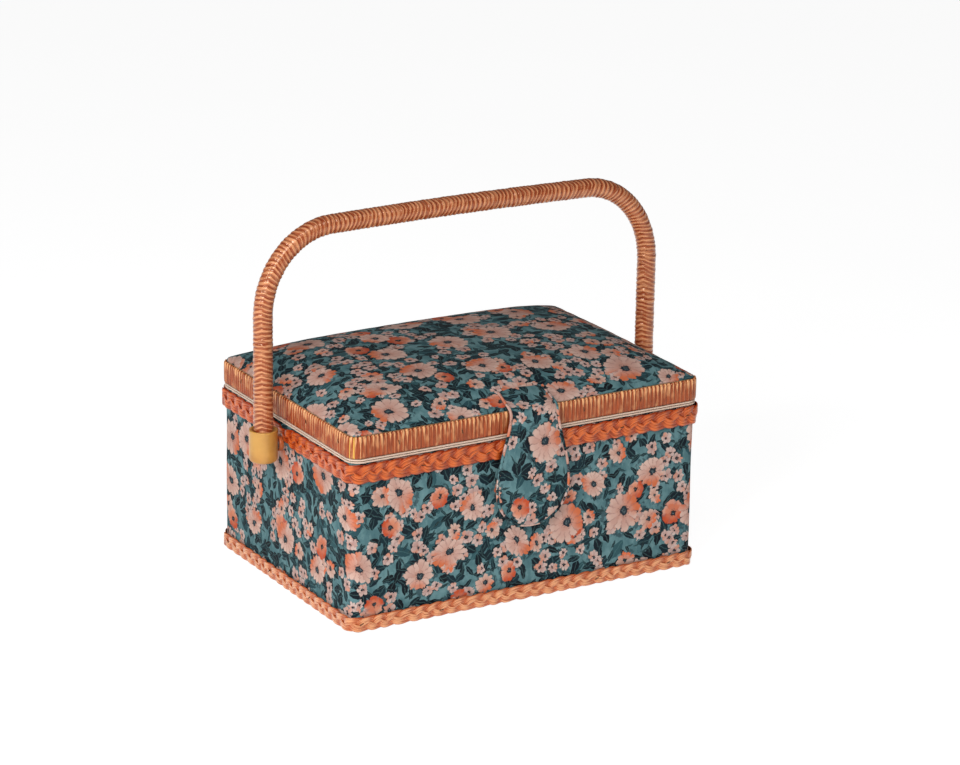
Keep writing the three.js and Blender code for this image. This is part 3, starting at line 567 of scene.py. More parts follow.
def floor_material():
    """A white sweep that gives off light of its own."""
    material, nodes = new_material(
        "floor", Roughness=0.9, Emission_Color=(1, 1, 1, 1), Emission_Strength=0.89,
    )
    faint = nodes.noise(nodes.place(), 0.004, 2.0, dimensions="3D")
    nodes.finish(nodes.mix(faint, (0.3, 0.3, 0.3, 1), (0.34, 0.34, 0.34, 1)), None)
    return material


MATERIALS = {
    "print": printed_cloth(),
    # the strands' colours are the painted shade in the gaps, then deep, body, and light for pale streaks
    # and the painted highlight on crests; last, how strong the coat is
    "ribbon": strand_material(
        "handle_ribbon", (76, 28, 13), (136, 56, 28), (166, 81, 46), (230, 163, 116), 0.35,
    ),
    "winding": strand_material(
        "rim_winding", (82, 24, 6), (134, 46, 14), (166, 68, 27), (250, 190, 132), 0.12,
    ),
    "upper_plait": strand_material(
        "upper_plait", (48, 12, 3), (128, 35, 9), (170, 55, 15), (228, 112, 50), 0.2,
    ),
    "lower_plait": strand_material(
        "lower_plait", (66, 22, 8), (166, 70, 34), (194, 98, 54), (240, 176, 128), 0.35,
    ),
    "cord": cord_material(),
    "satin": satin_material("cream_satin", (240, 229, 209), (226, 211, 186)),
    "ferrule": plastic_material("tan_plastic", (180, 126, 58), (204, 150, 72), 0.05),
    "washer": plastic_material("brown_washer", (150, 70, 34), (184, 98, 52)),
    "tray": plastic_material("tray_plastic", (226, 224, 214), (238, 237, 230), 0.15),
    "steel": metal_material("hinge_steel", (196, 198, 200), (150, 148, 144)),
    "staple": metal_material("staple_wire", (70, 50, 38), (110, 84, 60), 0.7),
    "board": grained_material("fibre_board", (150, 124, 90), (190, 164, 126), (0.3, 0.3, 1.0), 0.9),
    "wood": grained_material("softwood", (178, 138, 90), (214, 182, 134), (0.08, 1.0, 1.0), 0.7),
    "wadding": grained_material("wadding", (226, 222, 212), (246, 244, 238), (1.0, 1.0, 1.0), 1.0),
    "underside": grained_material("underside_cloth", (34, 52, 56), (58, 84, 86), (2.0, 2.0, 1.0), 0.95),
}


# ------------------------------------------------------------------ mesh building


def shade_smooth(mesh):
    mesh.polygons.foreach_set("use_smooth", [True] * len(mesh.polygons))


def put_in_scene(name, mesh):
    piece = bpy.data.objects.new(name, mesh)
    bpy.context.scene.collection.objects.link(piece)
    return piece


def use_material(mesh, material):
    mesh.materials.clear()
    mesh.materials.append(material)


def link(name, mesh, material, smooth=True):
    """A piece of the model, made from a mesh and the name of its material."""
    piece = put_in_scene(name, mesh)
    mesh.name = name
    use_material(mesh, MATERIALS[material])
    if smooth:
        shade_smooth(mesh)
    return piece


@contextmanager
def editing(mesh):
    """A bmesh of the mesh, written back at the end."""
    editable = bmesh.new()
    editable.from_mesh(mesh)
    yield editable
    editable.to_mesh(mesh)
    editable.free()


def with_modifiers(piece):
    """A new mesh with the piece's modifiers applied."""
    evaluated = piece.evaluated_get(bpy.context.evaluated_depsgraph_get())
    return bpy.data.meshes.new_from_object(evaluated)


def points_of(mesh):
    return np.array([vertex.co for vertex in mesh.vertices])


def move_points(mesh, co):
    mesh.vertices.foreach_set("co", co.astype(np.float32).ravel())


def give(mesh, name, values):
    """A number for each point of the mesh, which its material reads by name."""
    layer = mesh.attributes.get(name) or mesh.attributes.new(name, "FLOAT", "POINT")
    layer.data.foreach_set("value", np.broadcast_to(values, len(mesh.vertices)).astype(np.float32))


def grid_mesh(points, wrap_rows, wrap_columns, u=None, v=None, caps=False, height=None, tint=0.0):
    """A mesh from a grid of points [row, column]. u and v map rows and columns, in metres."""
    rows, columns = points.shape[:2]
    last_row, last_column = rows - (not wrap_rows), columns - (not wrap_columns)
    r, c = np.meshgrid(np.arange(last_row), np.arange(last_column), indexing="ij")
    r, c = r.ravel(), c.ravel()
    next_r, next_c = (r + 1) % rows, (c + 1) % columns
    corners = [r * columns + c, next_r * columns + c, next_r * columns + next_c, r * columns + next_c]
    faces = np.stack(corners, 1).tolist()
    if caps:
        faces.append(list(range(columns))[::-1])
        faces.append(list(range((rows - 1) * columns, rows * columns)))
    mesh = bpy.data.meshes.new("grid")
    mesh.from_pydata(points.reshape(-1, 3).tolist(), [], faces)
    layer = mesh.uv_layers.new(name=MAP)
    u = np.arange(rows + 1) * MM if u is None else u
    v = np.arange(columns + 1) * MM if v is None else v
    pairs = np.stack([
        np.stack([u[r], v[c]], 1), np.stack([u[r + 1], v[c]], 1),
        np.stack([u[r + 1], v[c + 1]], 1), np.stack([u[r], v[c + 1]], 1),
    ], 1).reshape(-1, 2)
    if caps:
        pairs = np.concatenate([pairs, np.zeros((2 * columns, 2))])
    layer.data.foreach_set("uv", pairs.astype(np.float32).ravel())
    # the relief that the strand material paints shade and highlights from, and the odd colour
    if height is not None:
        give(mesh, HEIGHT, np.broadcast_to(height, points.shape[:2]).ravel())
        give(mesh, TINT, np.broadcast_to(tint, points.shape[:2]).ravel())
    with editing(mesh) as editable:
        bmesh.ops.recalc_face_normals(editable, faces=editable.faces)
    return mesh


def map_points(mesh, pairs):
    """Gives a mesh its surface map, in metres, with one (u, v) pair for each of its points."""
    layer = mesh.uv_layers.get(MAP) or mesh.uv_layers.new(name=MAP)
    corners = np.zeros(len(mesh.loops), np.int32)
    mesh.loops.foreach_get("vertex_index", corners)
    layer.data.foreach_set("uv", pairs[corners].astype(np.float32).ravel())


def angles_round(sides):
    return np.arange(sides) / sides * math.tau


def unit(vectors):
    return vectors / np.linalg.norm(vectors, axis=1)[:, None]


def directions(line):
    """The line's direction at each of its points."""
    return unit(np.gradient(line, axis=0))


def lengths_along(line):
    return np.append(0, np.cumsum(np.linalg.norm(np.diff(line, axis=0), axis=1)))


def evenly_spaced(line, count):
    """That many even stations along a line, and the line's points there."""
    along = lengths_along(line)
    stations = np.linspace(0, along[-1], count)
    return stations, np.column_stack([np.interp(stations, along, axis) for axis in line.T])


def at_height(points, z):
    """Level points (x, y) lifted to a height z."""
    return np.column_stack([points, np.full(len(points), z)])


def bend_length(half_x, half_y, radius):
    """The length round a rounded rectangle."""
    return 4 * (half_x + half_y - 2 * radius) + math.tau * radius


def outline(half_x, half_y, radius, stations):
    """Points and outward normals on a rounded rectangle, by length from the middle of its back."""
    straights = [2 * (half_x - radius), 2 * (half_y - radius)] * 2
    quarter = radius * math.pi / 2
    along_all = (stations + straights[0] / 2) % (sum(straights) + 4 * quarter)
    points, normals = np.zeros((len(stations), 2)), np.zeros((len(stations), 2))
    start = np.array([half_x - radius, half_y])
    direction, normal = np.array([-1.0, 0.0]), np.array([0.0, 1.0])
    passed = 0.0
    for straight in straights:
        here = (along_all >= passed) & (along_all <= passed + straight + quarter)
        along = along_all[here] - passed
        turn = np.clip((along - straight) / quarter, 0, 1)[:, None] * math.pi / 2
        facing = np.cos(turn) * normal + np.sin(turn) * direction
        centre = start + direction * np.minimum(along, straight)[:, None] - normal * radius
        points[here], normals[here] = centre + facing * radius, facing
        start = start + direction * (straight + radius) - normal * radius
        normal, direction = direction, -normal
        passed += straight + quarter
    return points, normals


def even_outline(half_x, half_y, radius, count):
    """An outline with its points evenly spaced: its length, stations, points and normals."""
    length = bend_length(half_x, half_y, radius)
    stations = np.arange(count) / count * length
    return length, stations, *outline(half_x, half_y, radius, stations)


def ring_mesh(columns, stations, length, v=None, **more):
    """A closed ring round the case from lines of points that each run all the way round it."""
    return grid_mesh(np.stack(columns, 1), True, True, np.append(stations, length), v, **more)


def tube(centres, normals, ups, radii_n, radii_u, sides, closed, u=None, depth=None):
    """A tube mesh round a line, with its own half-widths along normal and up at each point."""
    angles = angles_round(sides)
    side = np.cos(angles)[None, :, None] * normals[:, None, :] * np.reshape(radii_n, (-1, 1, 1))
    rise = np.sin(angles)[None, :, None] * ups[:, None, :] * np.reshape(radii_u, (-1, 1, 1))
    points = centres[:, None, :] + side + rise
    v = np.arange(sides + 1) / sides * math.tau * float(np.mean(radii_u))
    height = None
    # the outward face is the proudest and the flanks the least, so the strand material paints shade on
    # the flanks and a highlight on the face
    if depth is not None:
        height = (0.5 + 0.5 * np.cos(angles))[None, :] * np.reshape(depth, (-1, 1))
    return grid_mesh(points, closed, True, u, v, caps=not closed, height=height)


def join_meshes(name, meshes, material):
    """One piece from several meshes."""
    parts = [link(f"{name}_{i}", mesh, material) for i, mesh in enumerate(meshes)]
    with bpy.context.temp_override(active_object=parts[0], selected_editable_objects=parts):
        bpy.ops.object.join()
    parts[0].name = name
    parts[0].data.name = name
    return parts[0]


# ------------------------------------------------------------------ plaits


PINCH_REACH = 8 * MM  # how far from the middle of a cup the plait is drawn in

def plait(name, node, material, thick, pinch=0.0):
    """A flat three-strand plait of three fibres each, round the case.

    pinch is how much narrower it is behind the handle's cups, as a share of its width.
    """
    low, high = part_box(node)
    width = high.z - low.z
    half_x, half_y = COVER_HIGH.x + 0.3 * MM, COVER_HIGH.y + 0.3 * MM
    radius = COVER_RADIUS + thick / 2
    middle_x, middle_y = half_x + thick / 2, half_y + thick / 2
    periods = round(bend_length(middle_x, middle_y, radius) / PLAIT_PERIOD)
    count = periods * 20
    length, stations, points, normals = even_outline(middle_x, middle_y, radius, count)
    squeeze = np.ones(count)
    if pinch:
        nearest = np.where(np.abs(points[:, 0]) > half_x - radius, np.abs(points[:, 1]), 1.0)
        squeeze = 1 - pinch * np.exp(-((nearest / PINCH_REACH) ** 2))
    outward = at_height(normals, 0)
    up = np.tile([0.0, 0.0, 1.0], (count, 1))
    strand_half = width * 0.25
    swing = width / 2 - strand_half
    round_once = math.tau * stations / length
    uneven = 0.2 * np.sin(7 * round_once + 1) + 0.14 * np.sin(19 * round_once)
    uneven += 0.1 * np.sin(31 * round_once + 2)
    meshes = []
    for strand in range(3):
        phase = math.tau * (stations / length * periods + strand / 3) + uneven
        height = swing * np.tanh(1.4 * np.sin(phase)) / math.tanh(1.4) * squeeze
        over = np.sin(2 * phase)
        depth = thick * 0.26 * over
        slope = np.gradient(height, stations)
        lean = np.sqrt(1 + slope**2)
        for fibre in (-1, 0, 1):
            ragged = 0.14 * MM * np.sin(phase * 1.7 + fibre * 2.1 + strand)
            shift = fibre * strand_half * 0.54 * squeeze * np.minimum(lean, 1.3)
            centres = np.column_stack([
                points + normals * depth[:, None], low.z + width / 2 + height + shift + ragged,
            ])
            wide = strand_half * 0.47 * squeeze * np.minimum(lean, 1.3)
            # relief for painted light: the material paints a highlight on a strand's face where it
            # passes over, and shade on its flanks, wider where it passes under
            mesh = tube(
                centres, outward, up, np.full(count, thick * 0.22), wide, 10, True,
                np.append(stations, length) + strand * 0.31 + fibre * 0.07, 0.8 + 0.2 * over,
            )
            meshes.append(mesh)
    piece = join_meshes(name, meshes, material)
    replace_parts(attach(piece, "case"), node)
    return piece


def turn_map(mesh):
    """Swaps the two axes of a mesh's surface map, so that its fibres run the other way."""
    layer = mesh.uv_layers[MAP]
    pairs = np.zeros(len(mesh.loops) * 2, np.float32)
    layer.data.foreach_get("uv", pairs)
    layer.data.foreach_set("uv", pairs.reshape(-1, 2)[:, ::-1].ravel())


# ------------------------------------------------------------------ lid rim winding


LOOP_PITCH = 3 * MM
POINTS_PER_LOOP = 9
FIBRE_RELIEF = 0.3 * MM
LOOP_RELIEF = 0.8 * MM
LOOP_RISE = 1.8 * MM  # how much a loop stands up where it turns over the lid's edge
MEAN_LOOP = 0.65  # the mean of the loops' own relief, 0 to 1

def rim_winding():
    """Strands wound over the lid's frame: fine fibres on the face, a loop of each over the edge."""
    half_x, half_y = RIM_HIGH.x, RIM_HIGH.y
    length = bend_length(half_x, half_y, RIM_RADIUS)
    loops = round(length / LOOP_PITCH)
    count = loops * POINTS_PER_LOOP
    stations = np.arange(count) / count * length
    inset = 0.45 * MM
    points, normals = outline(half_x - inset, half_y - inset, RIM_RADIUS - inset, stations)
    phase = stations / length * loops
    number = np.floor(phase).astype(int) % loops
    size = rng.uniform(0.7, 1.12, loops)[number]
    loop = np.abs(np.sin(np.pi * phase)) ** 0.8 * size
    strand = np.floor(3 * phase).astype(int) % (3 * loops)
    # shine is painted: how bright each strand's painted highlight is, one in three the brightest
    shine = rng.uniform(0.5, 0.7, loops * 3) + 0.2 * (np.arange(loops * 3) % 3 == 1)
    fibre = np.abs(np.sin(3 * np.pi * phase)) ** 0.7
    between = np.abs(np.sin(np.pi * phase)) ** 0.45
    corner = strand[np.argmin(np.hypot(points[:, 0] + half_x, points[:, 1] + half_y - 2 * MM))]
    odd_ones = np.isin(strand, [corner - 2, corner + 1])
    low, high = RIM_LOW.z, RIM_HIGH.z
    thick = 1.5 * MM - inset
    profile = [  # depth outwards, height, share of loop swell, share of fibre swell
        (-thick, low + 0.4 * MM, 0, 0),
        (-thick * 0.5, low, 0, 0.2),
        (0, low + 0.3 * MM, 0.1, 0.6),
        (0, low + 1.6 * MM, 0.2, 0.9),
        (0, low + 4.5 * MM, 0.3, 1),
        (0, low + 8 * MM, 0.45, 1),
        (0, high - 4.4 * MM, 0.6, 0.9),
        (0, high - 3.2 * MM, 0.85, 0.8),
        (0, high - 1.7 * MM, 1, 0.6),
        (-0.15 * MM, high - 0.9 * MM, 1, 0.5),
        (-0.7 * MM, high - 0.35 * MM, 1, 0.4),
        (-1.3 * MM, high - 0.3 * MM, 0.9, 0.3),
        (-1.7 * MM, high - 0.8 * MM, 0.6, 0.2),
        (-1.8 * MM, high - 1.6 * MM, 0.1, 0),
    ]
    columns = []
    for depth, z, swell_loop, swell_fibre in profile:
        swell = FIBRE_RELIEF * swell_fibre * fibre
        swell += LOOP_RELIEF * (0.3 + 0.7 * swell_loop) * (loop - MEAN_LOOP)
        rise = LOOP_RISE * np.clip(swell_loop - 0.55, 0, 1) * loop
        reach = points + normals * (depth + swell)[:, None]
        columns.append(at_height(reach, z + rise))
    heights = np.append([z for _, z, _, _ in profile], high + 4 * MM)
    loopy = np.array([swell_loop for _, _, swell_loop, _ in profile])[None, :] ** 1.5
    # the strands' relief for painted light: the material paints shade between fibres and loops, and
    # highlights on the shiniest strands and on the loops turned over the edge
    face = (0.6 + 0.4 * fibre) * shine[strand] * (0.75 + 0.25 * between)
    proud = face[:, None] * (1 - loopy) + (0.15 + 1.05 * loop)[:, None] * loopy
    odd_colour = odd_ones[:, None].astype(float)
    mesh = ring_mesh(columns, stations, length, heights, height=proud, tint=odd_colour)
    turn_map(mesh)
    piece = link("rim_winding", mesh, "winding")
    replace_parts(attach(piece, "lid"), "lid_rim_wrap")


# ------------------------------------------------------------------ piping cords


CORD_PITCH = 3.4 * MM  # one turn of the cord's two plies

def piping(name, node, body):
    """A two-ply cord laid round the case."""
    low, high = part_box(node)
    half_height = (high.z - low.z) / 2
    half_x, half_y = high.x - half_height, high.y - half_height
    length, stations, points, normals = even_outline(half_x, half_y, RIM_RADIUS, 1400)
    turns = round(length / CORD_PITCH)
    angles = angles_round(10)
    twist = math.tau * turns * stations / length
    ply = np.abs(np.cos(angles[None, :] - twist[:, None]))
    reach = half_height * (0.84 + 0.2 * ply)
    outward = np.cos(angles)[None, :] * reach
    height = low.z + half_height + np.sin(angles)[None, :] * reach
    grid = np.concatenate([
        points[:, None, :] + normals[:, None, :] * outward[:, :, None], height[:, :, None],
    ], 2)
    around = np.arange(11) / 10 * math.tau * half_height
    mesh = grid_mesh(grid, True, True, np.append(stations, length), around)
    piece = link(name, mesh, "cord")
    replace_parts(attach(piece, body), node)


# ------------------------------------------------------------------ body cover


def body_cover():
    """The printed cloth glued round the walls: a thin sheet with a little slack in it."""
    half_x, half_y, radius = COVER_HIGH.x, COVER_HIGH.y, COVER_RADIUS
    length, stations, points, normals = even_outline(half_x, half_y, radius, 420)
    height = COVER_HIGH.z - COVER_LOW.z
    columns, places = [], []
    for z in np.linspace(COVER_LOW.z, COVER_HIGH.z, 30):
        share = (z - COVER_LOW.z) / height
        slack = 0.22 * MM * np.sin(stations * 61 + 4 * share) * np.sin(math.pi * share)
        slack += 0.18 * MM * np.sin(stations * 143 - 9 * share) * np.sin(math.pi * share)
        columns.append(at_height(points + normals * slack[:, None], z))
        places.append(z)
    thick = COVER_THICK
    inner, _ = outline(half_x - thick, half_y - thick, radius - thick, stations)
    for z in (COVER_HIGH.z, COVER_LOW.z):
        columns.append(at_height(inner, z))
        places.append(z)
    mesh = ring_mesh(columns, stations, length, np.append(places, 0))
    piece = link("body_cover", mesh, "print")
    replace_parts(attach(piece, "case"), "outer_fabric")


# ------------------------------------------------------------------ padded lid


DOME_PROFILE = [  # how far in from the lid's edge, and how high, in millimetres
    (0, 0.2), (3, 2.2), (7, 4.8), (12, 8.0), (18, 11.7), (25, 14.8), (36, 16.0), (50, 16.9),
    (70, 17.8), (92, 18.2),
]
DOME_CORNER = 7 * MM
TUCK = 0.6 * MM  # how far the pad's edge goes down between the lid's board and the winding
DOME_ROUNDING = 1.6  # lower makes the height lines rounder at the lid's corners


def dome_height(x, y):
    """Height of the lid pad above its edge, from the distances to its sides."""
    from_x = np.clip(DOME_HIGH.x - np.abs(x), 1e-6, None)
    from_y = np.clip(DOME_HIGH.y - np.abs(y), 1e-6, None)
    inward = (from_x**-DOME_ROUNDING + from_y**-DOME_ROUNDING) ** (-1 / DOME_ROUNDING)
    profile = np.array(DOME_PROFILE) * MM
    dense = np.linspace(0, profile[-1, 0], 400)
    heights = np.interp(dense, profile[:, 0], profile[:, 1])
    heights = np.convolve(np.pad(heights, 6, "edge"), np.ones(13) / 13, "valid")
    heights[0] = profile[0, 1]
    return np.interp(inward, dense, heights)


def dome_mesh():
    """The lid pad before it is stuffed: an even net over the lid, closed by one underneath."""
    columns, rows = 66, 48
    half_x, half_y = DOME_HIGH.x - 0.2 * MM, DOME_HIGH.y - 0.2 * MM
    crowding = 1.25  # draws the net's lines together towards the lid's sides
    x, y = np.meshgrid(
        np.sin(np.linspace(-1, 1, columns) * crowding) / math.sin(crowding) * half_x,
        np.sin(np.linspace(-1, 1, rows) * crowding) / math.sin(crowding) * half_y, indexing="ij",
    )
    a = np.clip((np.abs(x) - half_x + DOME_CORNER) / DOME_CORNER, 0, 1)
    b = np.clip((np.abs(y) - half_y + DOME_CORNER) / DOME_CORNER, 0, 1)
    x = np.sign(x) * (np.abs(x) - DOME_CORNER * a * (1 - np.sqrt(1 - b**2 / 2)))
    y = np.sign(y) * (np.abs(y) - DOME_CORNER * b * (1 - np.sqrt(1 - a**2 / 2)))
    top = np.stack([x, y, DOME_LOW.z + dome_height(x, y)], 2)
    edge = np.ones((columns, rows), bool)
    edge[1:-1, 1:-1] = False
    top[edge, 2] = DOME_LOW.z - TUCK
    bottom = top.copy()
    bottom[..., 2] = DOME_LOW.z
    mesh = bpy.data.meshes.new("dome")
    number = np.arange(columns * rows).reshape(columns, rows)
    under = number + columns * rows
    under[edge] = number[edge]
    faces = []
    for net in (number, under):
        corners = [net[:-1, :-1], net[1:, :-1], net[1:, 1:], net[:-1, 1:]]
        faces += np.stack(corners, 2).reshape(-1, 4).tolist()
    points = np.concatenate([top.reshape(-1, 3), bottom.reshape(-1, 3)])
    mesh.from_pydata(points.tolist(), [], faces)
    with editing(mesh) as editable:
        loose = [vert for vert in editable.verts if not vert.link_faces]
        bmesh.ops.delete(editable, geom=loose, context="VERTS")
        bmesh.ops.recalc_face_normals(editable, faces=editable.faces)
    return mesh


def remesh(mesh, voxel):
    """The same closed shape with even faces of about that size."""
    carrier = put_in_scene("carrier", mesh)
    modifier = carrier.modifiers.new("even", "REMESH")
    modifier.mode = "VOXEL"
    modifier.voxel_size = voxel
    modifier.adaptivity = 0
    made = with_modifiers(carrier)
    bpy.data.objects.remove(carrier)
    return made


STUFFING_PRESSURE = 4.0
STUFFING_FRAMES = 20


def stuff(mesh, held, cap):
    """Blows the closed cloth up a little, never inwards past its filling.

    held says which points are sewn down, by place, and cap is the furthest a point may move.
    """
    piece = put_in_scene("stuffed", mesh)
    before = points_of(mesh)
    sewn = piece.vertex_groups.new(name="sewn")
    sewn.add(np.nonzero(held(before))[0].tolist(), 1.0, "REPLACE")
    cloth = piece.modifiers.new("cloth", "CLOTH").settings
    cloth.quality = 6
    cloth.use_pressure = True
    cloth.uniform_pressure_force = STUFFING_PRESSURE
    cloth.vertex_group_mass = "sewn"
    cloth.tension_stiffness = 18
    cloth.compression_stiffness = 12
    cloth.bending_stiffness = 1.5
    cloth.effector_weights.gravity = 0
    scene = bpy.context.scene
    for step in range(1, STUFFING_FRAMES + 1):
        scene.frame_set(step)
    evaluated = piece.evaluated_get(bpy.context.evaluated_depsgraph_get())
    after = points_of(evaluated.data)
    scene.frame_set(1)
    moved = after - before
    outward = np.array([vertex.normal for vertex in mesh.vertices])
    inwards = np.minimum((moved * outward).sum(1), 0)[:, None]
    moved -= outward * inwards
    far = np.linalg.norm(moved, axis=1)[:, None]
    moved *= np.minimum(1, cap / np.maximum(far, 1e-9))
    piece.modifiers.clear()
    move_points(mesh, before + moved)
    mesh.update()
    bpy.data.objects.remove(piece)
    return mesh


def apply_modifiers(piece):
    made = with_modifiers(piece)
    piece.modifiers.clear()
    piece.data = made
    shade_smooth(made)


def refine(piece):
    """Splits each face in four and smooths the shape."""
    modifier = piece.modifiers.new("fine", "SUBSURF")
    modifier.levels = 1
    modifier.render_levels = 1
    apply_modifiers(piece)


def lid_surface(co):
    """Surface map of the lid pad: level on top, and unrolled down its sloping sides."""
    drop = np.clip(DOME_HIGH.z - co[:, 2], 0, None) * 0.55
    side = 30 * MM  # how wide the sloping sides are
    edge_x = np.clip(np.abs(co[:, 0]) - (DOME_HIGH.x - side), 0, None) / side
    edge_y = np.clip(np.abs(co[:, 1]) - (DOME_HIGH.y - side), 0, None) / side
    u = co[:, 0] + np.sign(co[:, 0]) * drop * edge_x
    v = co[:, 1] + np.sign(co[:, 1]) * drop * edge_y
    return np.column_stack([u + 0.31, v + 0.47])


def lid_pad():
    """The stuffed lid top in printed cloth, sewn down all round inside the rim."""
    mesh = dome_mesh()
    floor = DOME_LOW.z
    mesh = stuff(mesh, lambda co: co[:, 2] < floor + 1.6 * MM, 1.2 * MM)
    co = points_of(mesh)
    height = co[:, 2] - floor
    raised = np.clip(height / (4 * MM), 0, 1) * np.clip((19 * MM - height) / (12 * MM), 0, 1)
    along = np.arctan2(co[:, 1] / DOME_HIGH.y, co[:, 0] / DOME_HIGH.x)
    puckers = np.sin(along * 47 + 2 * np.sin(along * 5)) * 0.6 + np.sin(along * 83) * 0.4
    co[:, 2] += 0.3 * MM * puckers * raised
    move_points(mesh, co)
    piece = link("lid_pad", mesh, "print")
    refine(piece)
    map_points(piece.data, lid_surface(points_of(piece.data)))
    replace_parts(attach(piece, "lid"), "lid_cover")


# ------------------------------------------------------------------ closing tab


TAB_ROUND_Z = 78.5 * MM
TAB_TOP_HALF = 16.3 * MM
TAB_HALF = 26 * MM
TAB_MIDDLE_Y = (TAB_LOW.y + TAB_HIGH.y) / 2
TAB_HALF_THICK = (TAB_HIGH.y - TAB_LOW.y) / 2
SNAP_Z = 70 * MM
SNAP_RADIUS = 7.2 * MM
CREASE_PITCH = 5.2 * MM


def bezier(points, t):
    """A cubic curve's points, t from 0 to 1."""
    a, b, c, d = (np.array(point) for point in points)
    t = np.reshape(t, (-1, 1))
    return a * (1 - t) ** 3 + 3 * b * t * (1 - t) ** 2 + 3 * c * t**2 * (1 - t) + d * t**3


def tab_half_width(z):
    """Half the tab's width at a height below the rim's top edge."""
    side = bezier([
        (TAB_TOP_HALF, TAB_HIGH.z), (TAB_TOP_HALF + 1.2 * MM, TAB_HIGH.z - 18 * MM),
        (TAB_HALF, TAB_ROUND_Z + 19 * MM), (TAB_HALF, TAB_ROUND_Z),
    ], np.linspace(0, 1, 60))
    curved = np.interp(z, side[::-1, 1], side[::-1, 0])
    round_end = np.sqrt(np.clip(TAB_HALF**2 - (TAB_ROUND_Z - z) ** 2, 0, None))
    return np.where(z < TAB_ROUND_Z, round_end, curved)


def tab_line(count):
    """The tab's middle line in (y, z) from its root on the lid pad to its rounded end."""
    on_pad = np.linspace(DOME_LOW.y + 17 * MM, DOME_LOW.y + 4 * MM, 8)
    above = DOME_LOW.z + dome_height(0.0, on_pad) + np.linspace(-1.3, 1.1, 8) * MM
    root = np.column_stack([on_pad, above])
    over = bezier([
        root[-1], root[-1] + (root[-1] - root[-2]) * 2.2,
        (TAB_MIDDLE_Y, TAB_HIGH.z + 3 * MM), (TAB_MIDDLE_Y, TAB_HIGH.z - 3 * MM),
    ], np.linspace(0, 1, 12))[1:]
    turn = np.linspace(0, math.pi / 2, count - 18)[1:]
    hanging = over[-1, 1] + (TAB_LOW.z - over[-1, 1]) * np.sin(turn)
    return np.concatenate([root, over, np.column_stack([np.full(len(turn), TAB_MIDDLE_Y), hanging])])


def tab_widths(line):
    """Half-width along the line: the root narrows a little towards the lid."""
    on_root = line[:, 1] > TAB_HIGH.z
    rooted = TAB_TOP_HALF - 0.06 * (line[:, 1] - TAB_HIGH.z)
    return np.where(on_root, rooted, tab_half_width(line[:, 1]))


def tab_relief(x, z):
    """The press closure's bulge and the creases round it, outwards."""
    from_snap = np.hypot(x, z - SNAP_Z)
    bulge = 0.55 * MM / (1 + np.exp((from_snap - SNAP_RADIUS) / (0.7 * MM)))
    crease_way = (x * 0.62 + (z - SNAP_Z) * 0.78) / CREASE_PITCH
    aside, below = (x - 13 * MM) / (12 * MM), (z - 64 * MM) / (10 * MM)
    creases = 0.45 * MM * np.sin(crease_way * math.tau) * np.exp(-(aside**2 + below**2))
    soft = 0.2 * MM * np.sin(x * 210 + z * 130) * np.sin(z * 170 - x * 60)
    return bulge + creases + soft


def tab_pieces():
    """The padded tongue and the piped edge sewn round it. Both bend where the lid's rim ends."""
    line = tab_line(66)
    widths = tab_widths(line)
    ahead = directions(line)
    outward = np.column_stack([ahead[:, 1], -ahead[:, 0]])
    across = np.sin(np.linspace(-math.pi / 2, math.pi / 2, 27))
    faces = []
    for side, positions in ((1, across), (-1, across[::-1][1:-1])):
        x = widths[:, None] * positions[None, :]
        fat = (1 - np.abs(positions) ** 5)[None, :] * 0.75 + 0.25
        ends = np.clip(widths / (8 * MM), 0.25, 1)[:, None] ** 0.5
        root = np.clip((line[0, 1] + 1 * MM - line[:, 1]) / (5 * MM), 0.3, 1)[:, None]
        half = TAB_HALF_THICK * fat * ends * root
        relief = tab_relief(x, line[:, 1][:, None]) if side > 0 else 0
        lift = side * (half + relief * (fat - 0.25))
        y = line[:, 0][:, None] + outward[:, 0][:, None] * lift
        z = line[:, 1][:, None] + outward[:, 1][:, None] * lift
        faces.append(np.stack([x, y, z], 2))
    grid = np.concatenate(faces, 1)
    mesh = grid_mesh(grid, False, True, caps=True)
    co = points_of(mesh)
    down = np.interp(-co[:, 2], -line[:, 1], -lengths_along(line))
    map_points(mesh, np.column_stack([co[:, 0] + 0.93, down + 0.61]))
    tab = link("closing_tab", mesh, "print")
    edge = tab_piping(line, widths, outward)
    for piece, nodes in ((tab, ("tab_anchor", "tab_flap")), (edge, ("tab_piping",))):
        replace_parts(piece, *nodes)
        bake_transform(piece)


def tab_piping(line, widths, outward):
    """A cloth-covered cord along the tab's edge, from one side of the root round to the other."""
    radius = 0.95 * MM
    proud = 0.35 * MM
    left = np.column_stack([-(widths + radius * 0.7), line + outward * proud])
    right = np.column_stack([widths + radius * 0.7, line + outward * proud])[::-1]
    route = np.concatenate([left[2:-2], right[2:-2]])
    stations, centres = evenly_spaced(route, 150)
    for _ in range(3):
        centres[1:-1] = (centres[:-2] + centres[1:-1] * 2 + centres[2:]) / 4
    tangent = directions(centres)
    side = unit(np.cross(tangent, [0.0, -1.0, 0.0]))
    face = np.cross(side, tangent)
    sizes = radius * (1 + 0.06 * np.sin(stations * 900))
    mesh = tube(centres, side, face, sizes, sizes, 10, False, np.append(stations, stations[-1]) + 2.2)
    return link("tab_edge", mesh, "print")


# ------------------------------------------------------------------ handle

HANDLE_SPAN = 144.3 * MM
SHOULDER_Z = 186 * MM
SHOULDER_WIDTH = 50 * MM
GRIP_Z = 241 * MM
GRIP_CROWN = 1 * MM
RIBBON_ROUND = 41 * MM  # once round the handle, in the ribbon's own map


